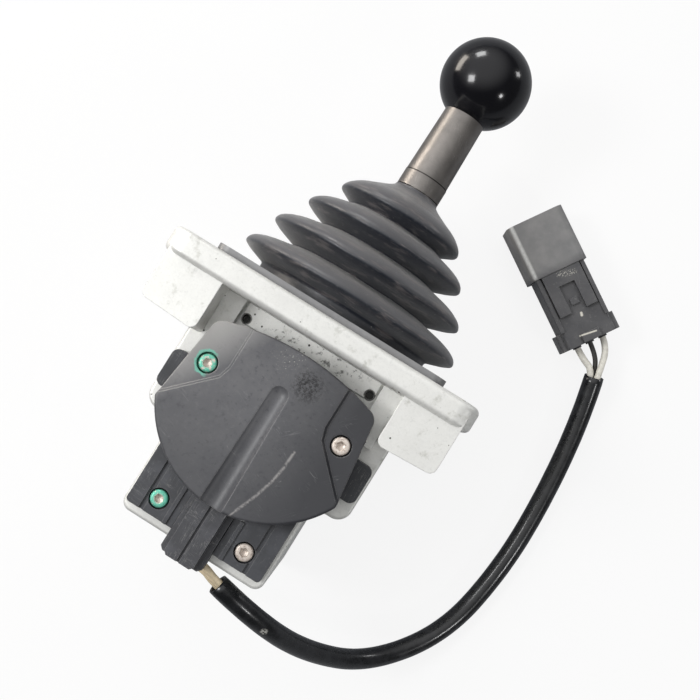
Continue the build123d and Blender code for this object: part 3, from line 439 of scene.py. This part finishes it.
def boot_rubber():
    """Dusty moulded rubber with a soft sheen; the sides that face the knob are painted paler, partly dust
    and partly painted light, and the undersides stay dark as painted shade.
    """
    look = Look("boot_rubber", Sheen_Weight=0.3, Sheen_Roughness=0.4)
    shade = look.mix(look.patches(16.0, 0.35, 0.7, 5.0, 0.6), (0.012, 0.015, 0.023), (0.024, 0.027, 0.036))
    # Painted light with dust: flanks that face the knob are painted paler, while undersides keep the dark
    # base as painted shade.
    facing = look.range(look.axis("Y", look.facing), -0.35, 0.75)
    shade = look.over(shade, facing, 0.8, (0.116, 0.115, 0.120))
    streaks = look.noise(1.5, 4.0, 0.7, look.moved((0, 3, 0), 0, (0.12, 1.0, 0.12)))
    shade = look.mix(look.range(streaks, 0.54, 0.66, 0.0, 0.6), shade, (0.19, 0.17, 0.165))
    mid = look.noise(2.0, 5.0, 0.65, look.moved((2, 7, 5)))
    shade = look.mix(look.range(mid, 0.55, 0.72, 0.0, 0.45), shade, (0.115, 0.115, 0.115))
    shade = look.over(shade, look.specks(2.2, 0.55, 0.14, 0.0, 0.03), 0.6, (0.42, 0.41, 0.39))
    height = look.math("MULTIPLY_ADD", mid, 0.6, look.noise(0.5, 3.0, 0.65))
    return look.finish(shade, look.wander(mid, 0.30, 0.46), height, 0.08, 0.5)


def ball_gloss():
    """The knob: polished black, with a few specks of dust."""
    look = Look("knob_gloss", Coat_Weight=0.4, Coat_Roughness=0.085, Specular_IOR_Level=0.3)
    black = (0.0035, 0.0035, 0.0055)
    shade = look.over(black, look.specks(3.4, 0.75, 0.07, 0.0, 0.02), 0.3, (0.2, 0.2, 0.2))
    spread = look.range(look.noise(7.0, 5.0, 0.6), 0.35, 0.7, 0.14, 0.26)
    return look.finish(shade, spread, look.noise(2.5, 3.0), 0.02, 0.25)


def tube_satin():
    """The handle tube: satin grey-brown, with marks round it and a soft dark line at its joint."""
    look = Look("tube_satin", Metallic=0.88)
    marks = look.noise(0.35, 3.0, 0.6, look.moved(stretch=(0.25, 2.5, 0.25)))
    shade = look.mix(look.patches(9.0, 0.35, 0.7, 4.0, 0.6), (0.27, 0.252, 0.238), (0.20, 0.188, 0.178))
    shade = look.mix(look.range(marks, 0.5, 0.75, 0.0, 0.35), shade, (0.36, 0.34, 0.315))
    shade = look.over(shade, look.scratches(75, 0.9, 0.009, 0.5, 4.0), 0.4, (0.6, 0.58, 0.55))
    joint = look.math("ABSOLUTE", look.math("SUBTRACT", look.axis("Y"), JOINT_LINE))
    shade = look.mix(look.range(joint, 0.35, 0.15), shade, (0.03, 0.028, 0.026))
    return look.finish(shade, look.wander(marks, 0.34, 0.46), marks, 0.03, 0.25)


def sleeve_gloss():
    """The lead's sleeve: soft, glossy and black, with dust and one pale nick."""
    look = Look("sleeve_gloss", Coat_Weight=0.35, Coat_Roughness=0.08)
    mid = look.noise(5.0, 5.0, 0.65)
    shade = look.mix(look.range(mid, 0.45, 0.7), (0.006, 0.0065, 0.008), (0.020, 0.021, 0.024))
    shade = look.over(shade, look.specks(3.0, 0.78, 0.1, 0.0, 0.03), 0.5, (0.35, 0.35, 0.34))
    nick = look.math("MULTIPLY", look.spot(SLEEVE_NICK, 1.2, 1.0), look.patches(0.9, 0.42, 0.52, 3.0))
    shade = look.mix(nick, shade, (0.55, 0.54, 0.50))
    height = look.math("MULTIPLY_ADD", mid, 0.8, look.math("MULTIPLY", look.noise(0.7, 3.0), 0.3))
    return look.finish(shade, look.wander(mid, 0.22, 0.34), height, 0.05, 0.4)


def wire_jacket(name, colour):
    """Thin-walled insulation, a little grubby."""
    look = Look(name)
    mid = look.noise(1.8, 4.0, 0.6)
    shade = look.mix(look.range(mid, 0.42, 0.7, 0.0, 0.8), colour, scaled(colour, 0.75))
    return look.finish(shade, look.wander(mid, 0.38, 0.5), mid, 0.04, 0.3)


def connector_plastic():
    """The connector: satin black body and a hood painted paler as painted sheen, with a painted highlight
    along one edge, a few painted highlights and some scuffs.
    """
    look = Look("connector_satin")
    mid = look.noise(1.4, 5.0, 0.7)
    cloud = look.patches(9.0, 0.38, 0.7, 5.0, 0.6)
    # Painted sheen: the hood is painted paler than the body.
    body = look.mix(cloud, (0.074, 0.074, 0.079), (0.108, 0.107, 0.110))
    hood = look.mix(cloud, (0.185, 0.185, 0.188), (0.250, 0.247, 0.244))
    along = look.vector("DOT_PRODUCT", look.moved(HOOD_START), CONNECTOR_WAY)
    shade = look.mix(look.range(along, -1.5, 3.0), body, hood)

    # Painted highlight: a pale strip along the hood's rounded edge.
    beside = look.vector("DOT_PRODUCT", look.moved(HOOD_MIDDLE), CONNECTOR_SIDE)
    edge_highlight = look.range(look.math("ABSOLUTE", look.math("SUBTRACT", beside, HOOD_EDGE)), 1.2, 0.3)
    edge_highlight = look.math("MULTIPLY", edge_highlight, look.range(along, -0.5, 1.0))
    edge_highlight = look.math("MULTIPLY", edge_highlight, look.range(look.axis("Z"), 19.0, 21.5))
    shade = look.over(shade, edge_highlight, look.range(mid, 0.3, 0.6, 0.5, 0.85), (0.78, 0.79, 0.78))
    shade = look.mix(look.range(mid, 0.60, 0.72, 0.0, 0.5), shade, (0.22, 0.22, 0.215))

    # Painted highlights on the lock's front edge and the rear edge, with real scuffs on the hood.
    highlights_and_scuffs = look.math("MAXIMUM", look.stroke(*LOCK_GLINT, 0.35, 0.4), look.stroke(*REAR_GLINT, 0.15, 0.35))
    scuffs = look.math("MULTIPLY", look.stroke(*HOOD_SCUFF, 0.5, 1.2), look.patches(0.6, 0.55, 0.62, 3.0))
    highlights_and_scuffs = look.math("MAXIMUM", highlights_and_scuffs, scuffs)
    highlights_and_scuffs = look.math("MULTIPLY", highlights_and_scuffs, look.range(look.axis("Z"), 17.0, 19.5))
    shade = look.over(shade, highlights_and_scuffs, 0.85, (0.80, 0.77, 0.68))
    long_lines = look.scratches(-33, 1.6, 0.006, 0.54, 2.0)
    lines = look.math("ADD", long_lines, look.scratches(50, 1.9, 0.005, 0.56, 12.0), clamp=True)
    shade = look.over(shade, lines, 0.4, (0.3, 0.3, 0.3))
    shade = look.over(shade, look.edges(0.4, 0.03, 0.25), 0.4, (0.26, 0.26, 0.26))
    fine = look.noise(0.35, 3.0, 0.65)
    return look.finish(shade, look.wander(mid, 0.28, 0.42), fine, 0.05, 0.45, look.rounded(0.45))


# The camera stands above the lever, rolled so that the stick points to the upper right.

camera_data = bpy.data.cameras.new("camera")
camera = bpy.data.objects.new("camera", camera_data)
scene.collection.objects.link(camera)
scene.camera = camera
camera.location = (0.0376, 0.0175, 0.5328)
camera.rotation_euler = (math.radians(3.337), math.radians(1.767), math.radians(31.888))
camera_data.sensor_width = 36
camera_data.lens = 59.95
camera_data.clip_start = 0.01
scene.view_settings.view_transform = "Standard"


# A white floor that keeps the shadow, a pale surround that is brighter above, and soft boxes.

FLOOR_SIZE = 6
FLOOR_LEVEL = -0.0003
FLOOR_PAINT = (0.86, 0.86, 0.86, 1)
WHITE_SHARE = 0.86
TABLE_SHARE = 0.72
RIGHT = Vector((0.849, 0.528, 0)).normalized()
UP = Vector((-0.528, 0.849, 0)).normalized()
LIT_MIDDLE = Vector(mm(20, 50, 60))
LAMP_DISTANCE = 0.95


def photo_way(right, up, near):
    """A direction given by the photograph's right, up and towards the camera."""
    return (RIGHT * right + UP * up + Vector((0, 0, near))).normalized()


def floor_white():
    """Paint that catches shadows, mostly white to the camera and mostly a dark table in reflections."""
    look = bpy.data.materials.new("floor_white")
    look.use_nodes = True
    tree = look.node_tree
    tree.nodes.remove(tree.nodes["Principled BSDF"])
    paint = node(tree, "BsdfDiffuse", Color=FLOOR_PAINT)
    white = node(tree, "Emission")
    table = node(tree, "Emission", Color=(0.10, 0.11, 0.13, 1))
    ray = node(tree, "LightPath")
    surface = paint.outputs[0]
    for kind, share, shown in (("Is Camera Ray", WHITE_SHARE, white), ("Is Glossy Ray", TABLE_SHARE, table)):
        amount = node(tree, "Math")
        amount.operation = "MULTIPLY"
        amount.inputs[1].default_value = share
        blend = node(tree, "MixShader")
        join(
            tree, (ray.outputs[kind], amount.inputs[0]), (amount.outputs[0], blend.inputs[0]),
            (surface, blend.inputs[1]), (shown.outputs[0], blend.inputs[2]),
        )
        surface = blend.outputs[0]
    join(tree, (surface, tree.nodes["Material Output"].inputs["Surface"]))
    return look


def surround():
    """A white world for the camera; its light comes mostly from above and the photograph's top."""
    world = bpy.data.worlds.new("world")
    scene.world = world
    world.use_nodes = True
    tree = world.node_tree
    sky = tree.nodes["Background"]
    sky.inputs["Color"].default_value = (1, 1, 1, 1)
    toward = node(tree, "VectorMath")
    toward.operation = "DOT_PRODUCT"
    toward.inputs[1].default_value = photo_way(-0.12, 0.52, 0.85)
    ramp = node(tree, "MapRange", From_Min=0.35, From_Max=0.97, To_Min=0.10, To_Max=1.0)
    ramp.interpolation_type = "SMOOTHSTEP"
    pick = node(tree, "Mix")
    pick.inputs[3].default_value = 1.0
    join(
        tree, (node(tree, "TexCoord").outputs["Generated"], toward.inputs[0]),
        (toward.outputs["Value"], ramp.inputs["Value"]),
        (node(tree, "LightPath").outputs["Is Camera Ray"], pick.inputs[0]),
        (ramp.outputs[0], pick.inputs[2]), (pick.outputs[0], sky.inputs["Strength"]),
    )


def soft_box(name, way, size, watts, warm=0.0):
    """A lamp that shines on the lever's middle from one direction."""
    data = bpy.data.lights.new(name, "AREA")
    data.shape = "RECTANGLE"
    data.size, data.size_y = size
    data.energy = watts
    data.color = (1.0, 1.0 - 0.10 * warm, 1.0 - 0.22 * warm)
    made = bpy.data.objects.new(name, data)
    scene.collection.objects.link(made)
    made.location = LIT_MIDDLE + way * LAMP_DISTANCE
    made.rotation_euler = (-way).to_track_quat("-Z", "Y").to_euler()


bpy.ops.mesh.primitive_plane_add(size=FLOOR_SIZE, location=(0, 0, FLOOR_LEVEL))
floor = bpy.context.object
floor.name = "floor"
floor.data.materials.append(floor_white())
surround()
soft_box("key", photo_way(-0.60, 0.14, 0.78), (0.26, 0.26), 3.3)
soft_box("window_left", photo_way(-0.68, 0.72, 0.14), (0.50, 0.24), 3.2, 0.8)
soft_box("window_top", photo_way(-0.12, 0.92, 0.38), (0.26, 0.20), 2.0)
soft_box("right", photo_way(0.92, 0.34, 0.12), (0.12, 0.18), 0.6)
soft_box("low_right", photo_way(0.60, -0.54, 0.58), (0.12, 0.12), 0.9)


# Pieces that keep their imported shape.

zinc = plain_metal("zinc_steel", (0.72, 0.70, 0.64), 0.30)
dark_steel = plain_metal("dark_steel", (0.16, 0.155, 0.15), 0.42)
bronze = plain_metal("bronze", (0.58, 0.40, 0.22), 0.38)
tube_look = tube_satin()
connector_look = connector_plastic()
packed_looks = {
    "housing_casting": cast_metal("cast_aluminium", (0.86, 0.86, 0.83), 0.55, web=True),
    "rear_cover": cast_metal("rear_cover_cast", (0.80, 0.80, 0.77), 0.7),
    "rear_gasket": plain_plastic("gasket_fibre", (0.05, 0.05, 0.05), 0.8, 0.5, 0.08),
    "rear_cover_screws": zinc,
    "front_bushing": bronze,
    "rear_bushing": bronze,
    "pivot_shaft": zinc,
    "retaining_ring": dark_steel,
    "thrust_spacers": zinc,
    "lever_hub": dark_steel,
    "hub_pins": zinc,
    "lever_rod": zinc,
    "lower_collar": tube_look,
    "handle_tube": tube_look,
    "ball_knob": ball_gloss(),
    "boot_retainer": plain_metal("retainer_steel", (0.27, 0.27, 0.275), 0.42, 0.5),
    "plunger_left": zinc,
    "plunger_right": zinc,
    "sensor_base": plate_plastic("base_plastic", (0.034, 0.036, 0.042)),
    "sensor_cover": cover_plastic(),
    "lower_plate": plate_plastic("plate_plastic", (0.045, 0.047, 0.054)),
    "cable_trough": plate_plastic("trough_plastic", (0.050, 0.051, 0.058)),
    "sensor_board": plain_plastic("board_laminate", (0.03, 0.16, 0.08), 0.35),
    "magnet_holder": bronze,
    "sensor_magnet": plain_metal("magnet_ferrite", (0.10, 0.10, 0.11), 0.5, 0.3),
    "connector_housing": connector_look,
    "connector_lock": connector_look,
    "connector_pins": plain_metal("contact_brass", (0.80, 0.62, 0.32), 0.25),
    "wire_seal": plain_plastic("seal_rubber", (0.06, 0.06, 0.065), 0.6),
}
for name, look in packed_looks.items():
    nodes[name].data.materials.clear()
    nodes[name].data.materials.append(look)


# Meshes made here are lists of vertices in millimetres and of faces.

def new_piece(name, skin, look, body="housing", smooth=True, replaced=()):
    """An object made of the skin, riding on its body and standing for the nodes it replaces."""
    verts, faces = skin
    mesh = bpy.data.meshes.new(name)
    mesh.from_pydata([mm(*vert) for vert in verts], [], faces)
    mesh.materials.append(look)
    for polygon in mesh.polygons:
        polygon.use_smooth = smooth
    mesh.update()
    made = bpy.data.objects.new(name, mesh)
    scene.collection.objects.link(made)
    if body:
        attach(made, body)
    if replaced:
        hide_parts(*replaced)
    return made


def turns(count):
    """Angles spaced evenly round a circle."""
    return [2 * math.pi * step / count for step in range(count)]


def loop_stack(loops, closed=False):
    """Quads between loops of as many points each, one after another."""
    verts = [point for loop in loops for point in loop]
    count = len(loops[0])
    faces = []
    pairs = len(loops) if closed else len(loops) - 1
    for level in range(pairs):
        here = level * count
        there = (level + 1) % len(loops) * count
        for step in range(count):
            after = (step + 1) % count
            faces.append((here + step, here + after, there + after, there + step))
    return verts, faces


def capped(loops):
    """A stack of loops with its two ends closed."""
    verts, faces = loop_stack(loops)
    count = len(loops[0])
    faces.append(tuple(reversed(range(count))))
    faces.append(tuple(len(verts) - count + step for step in range(count)))
    return verts, faces


def together(skins):
    """Several skins as one."""
    verts = []
    faces = []
    for more, added in skins:
        shift = len(verts)
        verts += more
        faces += [tuple(index + shift for index in face) for face in added]
    return verts, faces


def upright_ring(radius, height, count, x=0.0, z=0.0):
    """A circle across the lever, round its axis or beside it."""
    return [
        (x + radius * math.cos(turn), height, AXIS + z + radius * math.sin(turn))
        for turn in turns(count)
    ]


# The bellows boot: four saucer folds with swelling upper flanks and thin lips.

def bezier(points, count):
    """Points along one Bezier arc, without its last."""
    result = []
    for step in range(count):
        level = [Vector(point) for point in points]
        while len(level) > 1:
            level = [a.lerp(b, step / count) for a, b in zip(level, level[1:])]
        result.append(tuple(level[0]))
    return result


def rounded_profile(corners, steps=6):
    """A closed profile of (y, radius, rounding) with its corners eased."""
    result = []
    for index, (y, r, ease) in enumerate(corners):
        here = Vector((y, r))
        if ease <= 0:
            result.append((y, r))
            continue
        before = Vector(corners[index - 1][:2]) - here
        after = Vector(corners[(index + 1) % len(corners)][:2]) - here
        back = here + before.normalized() * min(ease, before.length * 0.48)
        ahead = here + after.normalized() * min(ease, after.length * 0.48)
        result += [*bezier([back, here, ahead], steps), tuple(ahead)]
    return result


def revolve(profile, segments, wobble, reach=14):
    """A closed profile of (y, radius) turned about the lever's axis, made slightly uneven."""
    loops = []
    for turn in turns(segments):
        across = math.cos(turn)
        up = math.sin(turn)
        loop = []
        for y, r in profile:
            shift = wobble * noise.noise(Vector((across * r / reach, up * r / reach, 2 * y / reach)))
            loop.append(((r + shift) * across, y + shift * 0.6, AXIS + (r + shift) * up))
        loops.append(loop)
    return loop_stack(loops, closed=True)


def boot_profile():
    """The boot's wall, down its outside from the neck to the seat and back up its inside.

    Each fold swells out to a shoulder, turns over a thin lip and goes in to the valley below.
    """
    outer = [(102.4, 9.0, 0), (102.4, 9.75, 0.3), (101.3, 9.95, 0.8), (*NECK, 2.4)]
    start = Vector(NECK)
    for (rim_y, rim_r), valley in zip(RIMS, VALLEYS):
        shoulder = Vector((rim_y + 1.9, rim_r - 1.0))
        run = shoulder - start
        outward = Vector((run.y, -run.x)).normalized()
        for share, swell in ((0.36, 0.35), (0.72, 0.95)):
            outer.append((*(start + run * share + outward * swell), 4.0))
        outer.append((*shoulder, 2.2))
        outer.append((rim_y - 0.9, rim_r, 1.3))
        outer.append((rim_y - 2.6, rim_r - 3.2, 1.6))
        outer.append((*valley, 1.3))
        start = Vector(valley)
    outer += [(SEAT + 2.2, 39.2, 1.2), (SEAT + 1.2, 40.6, 0.5), (SEAT, 40.6, 0)]
    inner = [(SEAT, 35.2, 0), (44.0, 34.4, 1.5)]
    for (rim_y, rim_r), (low_y, low_r) in zip(reversed(RIMS), reversed(VALLEYS)):
        inner.append((low_y - 0.2, low_r - 2.9, 1.5))
        inner.append((rim_y - 0.4, rim_r - 4.6, 1.5))
    return rounded_profile([*outer, *inner, (95.5, 9.0, 1.0)])


def square_loop(half, corner, height, count):
    """Points round a rounded square in the plane across the lever."""
    points = []
    for turn in turns(count):
        x = math.cos(turn)
        z = math.sin(turn)
        grow = half / max(abs(x), abs(z))
        x *= grow
        z *= grow
        dx = abs(x) - (half - corner)
        dz = abs(z) - (half - corner)
        if dx > 0 and dz > 0:
            fit = corner / math.hypot(dx, dz)
            x = math.copysign(half - corner + dx * fit, x)
            z = math.copysign(half - corner + dz * fit, z)
        points.append((x, height, AXIS + z))
    return points


rubber = boot_rubber()
boot_skin = revolve(boot_profile(), ROUND_STEPS, 0.22)
boot = new_piece("bellows_boot", boot_skin, rubber, None, True, ("boot",))
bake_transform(boot)

# The boot's square rubber base, clamped under its steel retainer.
low, high = BASE_LEVELS
base_skin = loop_stack([
    square_loop(BASE_HALF, 4.0, low, ROUND_STEPS),
    square_loop(BASE_HALF, 4.0, high, ROUND_STEPS),
    upright_ring(BASE_OPENING, high, ROUND_STEPS),
    upright_ring(BASE_OPENING, low, ROUND_STEPS),
], closed=True)
new_piece("boot_base", base_skin, rubber, "housing", False, ())


# Return springs: copies of the imported coils in dark steel, standing in for them.
for side, name in ((-1, "left"), (1, "right")):
    mesh = nodes["spring_" + name].data.copy()
    mesh.materials.clear()
    mesh.materials.append(dark_steel)
    coil = bpy.data.objects.new("coil_" + name, mesh)
    scene.collection.objects.link(coil)
    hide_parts("spring_" + name)
    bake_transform(coil)


# Cap screws: rounded, knurled heads with hexagon sockets.

HEAD_RADIUS = 3.5
HEAD_HEIGHT = 3.8
HEAD_STEPS = 96
SHANK_RADIUS = 1.95
SHANK_LENGTH = 16.0
KNURL = 0.1
SOCKET_HALF = 1.5
SOFT_ANGLE = math.radians(38)


def cap_screw(x0, y0, seat, turn):
    """One cap screw standing along +Z, its socket turned by an angle."""

    def ring(radius, z, knurl=0.0):
        points = []
        for step, way in enumerate(turns(HEAD_STEPS)):
            r = radius - (knurl if step % 4 < 2 else 0.0)
            points.append((x0 + r * math.cos(way), y0 + r * math.sin(way), z))
        return points

    def hexagon(half, z):
        points = []
        for way in turns(HEAD_STEPS):
            r = half / math.cos((way - turn) % (math.pi / 3) - math.pi / 6)
            points.append((x0 + r * math.cos(way), y0 + r * math.sin(way), z))
        return points

    top = seat + HEAD_HEIGHT
    tip = seat - SHANK_LENGTH
    return capped([
        ring(0.02, tip),
        ring(1.7, tip),
        ring(SHANK_RADIUS, tip + 0.5),
        ring(SHANK_RADIUS, seat),
        ring(3.35, seat),
        ring(HEAD_RADIUS, seat + 0.2, KNURL),
        ring(HEAD_RADIUS, top - 0.75, KNURL),
        ring(3.42, top - 0.45),
        ring(3.15, top - 0.14),
        ring(2.75, top),
        ring(2.1, top),
        hexagon(SOCKET_HALF + 0.22, top),
        hexagon(SOCKET_HALF, top - 0.22),
        hexagon(SOCKET_HALF, top - 1.7),
        ring(0.5, top - 2.0),
        ring(0.02, top - 2.05),
    ])


def screw_pair(name, spot, seat, socket_turns, replaced):
    """Two cap screws, left and right of the middle."""
    x, y = spot
    skin = together(cap_screw(side * x, y, seat, turn) for side, turn in zip((-1, 1), socket_turns))
    made = new_piece(name, skin, marked, "housing", True, (replaced,))
    made.data.set_sharp_from_angle(angle=SOFT_ANGLE)


marked = screw_steel("screw_steel", PAINT_SPOTS)
screw_pair("cover_cap_screws", COVER_SCREW, COVER_SCREW_SEAT, (0.35, 0.9), "cover_screws")
screw_pair("plate_cap_screws", PLATE_SCREW, PLATE_SCREW_SEAT, (0.1, 0.7), "plate_screws")


# The retainer's screws lie flush in their countersinks.

def sunk_screw(x, z):
    """One flat-headed screw along the lever, given by its radii and heights."""
    top = SEAT + 3.0
    stack = (
        (SHANK_RADIUS, top - 7.0), (SHANK_RADIUS, top - 0.2), (3.3, top + 0.02), (3.2, top + 0.12),
        (1.7, top + 0.14), (1.6, top - 1.1), (0.02, top - 1.3),
    )
    return capped([upright_ring(radius, height, 48, x, z) for radius, height in stack])


sides = (-RETAINER_SCREW, RETAINER_SCREW)
flush_skin = together(sunk_screw(x, z) for x in sides for z in sides)
flush = new_piece("flush_screws", flush_skin, dark_steel, "housing", True, ("retainer_screws",))
flush.data.set_sharp_from_angle(angle=SOFT_ANGLE)


# The black sleeve: one smooth line through the modelled route's points, hollow at both ends.

def smooth_line(name, points, detail=14):
    """Points along a NURBS spline that has the given points as its control points."""
    data = bpy.data.curves.new(name, "CURVE")
    data.dimensions = "3D"
    data.resolution_u = detail
    spline = data.splines.new("NURBS")
    spline.points.add(len(points) - 1)
    for knot, point in zip(spline.points, points):
        knot.co = (*mm(*point), 1)
    spline.order_u = 3
    spline.use_endpoint_u = True
    curve = bpy.data.objects.new(name, data)
    scene.collection.objects.link(curve)
    bpy.context.view_layer.update()
    mesh = bpy.data.meshes.new_from_object(curve)
    line = [vertex.co.copy() for vertex in mesh.vertices]
    bpy.data.objects.remove(curve)
    bpy.data.meshes.remove(mesh)
    return line


def frames_along(line):
    """Each point of a line with its direction and two directions square to it, turning little."""
    found = []
    normal = Vector((0, 0, 1))
    for index, point in enumerate(line):
        along = (line[min(index + 1, len(line) - 1)] - line[max(index - 1, 0)]).normalized()
        normal = (normal - along * normal.dot(along)).normalized()
        found.append((point, along, normal, along.cross(normal)))
    return found


def ring_points(place, radius, shift=0.0, count=40):
    """A circle round one place of a line, in millimetres."""
    point, along, normal, side = place
    middle = (point + along * shift * MM) / MM
    ways = [normal * math.cos(turn) + side * math.sin(turn) for turn in turns(count)]
    return [tuple(middle + way * radius) for way in ways]


line = smooth_line("sleeve_line", ROUTE)
first, *between, last = frames_along(line)
mouth = ((3.5, 5.0), (3.6, 0.3), (3.9, 0.02), (4.3, 0.08))
skin = [ring_points(first, radius, shift) for radius, shift in mouth]
for index, place in enumerate(between):
    skin.append(ring_points(place, SLEEVE_RADIUS + 0.04 * noise.noise(Vector((index * 0.35, 0, 0)))))
skin += [ring_points(last, radius, -shift) for radius, shift in reversed(mouth)]
sleeve = new_piece(
    "lead_sleeve", capped(skin), sleeve_gloss(), "housing", True, ("harness_sleeve",)
)


# The lead's three wires, each a piece of its own at either end of the sleeve.

def wire(name, points, radius, look, replaced):
    """One wire along a smooth line through its points."""
    places = frames_along(smooth_line(name + "_line", points, 8))
    tube = capped([ring_points(place, radius, 0.0, 20) for place in places])
    return new_piece(name, tube, look, "housing", True, (replaced,))


def exit_wire(step, name, look):
    """A wire from the board through the trough into the sleeve; step is its place in the row."""
    start = Vector(ROUTE[0])
    heading = (Vector(ROUTE[1]) - start).normalized()
    side = Vector((0, 0, 1)).cross(heading).normalized()
    entry = start + side * (ROW[0] * step) + heading.cross(side) * (ROW[1] * step)
    lip_y, lip_z = TROUGH_LIP
    bend_x, bend_y, bend_z = TROUGH_BEND
    route = [(LANE * step, y, z) for y, z in TROUGH]
    route.append((LANE * step, lip_y + ROW[0] * step, lip_z + ROW[1] * step))
    route.append((bend_x, bend_y + ROW[0] * step, bend_z + ROW[1] * step))
    route += [entry - heading * BEFORE_SLEEVE, entry + heading * INTO_SLEEVE]
    return wire("exit_wire_" + name, route, EXIT_WIRE_RADIUS, look, "exit_wires")


def plug_wire(step, name, look):
    """A wire from the sleeve to the connector's seal; the middle one lies below the other two."""
    end = Vector(ROUTE[-1])
    heading = (end - Vector(ROUTE[-2])).normalized()
    side = heading.cross(Vector((0, 0, 1))).normalized()
    leave = end + side * (TRIANGLE[0] * step)
    leave += side.cross(heading) * (TRIANGLE[1] * (1.5 * abs(step) - 1))
    plug_heading = Vector(CONNECTOR_WAY).normalized()
    across = Vector((0, 0, 1)).cross(plug_heading)
    arrive = Vector(SEAL) - across * (TERMINAL_PITCH * step)
    route = [leave - heading * INTO_SLEEVE, leave + heading * AFTER_SLEEVE]
    route += [arrive - plug_heading * BEFORE_SEAL, arrive + plug_heading * INTO_SEAL]
    radius = PLUG_WIRE_RADIUS if step else BLACK_WIRE_RADIUS
    return wire("plug_wire_" + name, route, radius, look, "plug_wires")


tan = wire_jacket("tan_insulation", (0.86, 0.72, 0.50))
cream = wire_jacket("cream_insulation", (0.95, 0.92, 0.83))
black = wire_jacket("black_insulation", (0.05, 0.048, 0.046))
for step, name, look in ((-1, "low", cream), (0, "middle", black), (1, "high", cream)):
    exit_wire(step, name, tan)
    plug_wire(step, name, look)
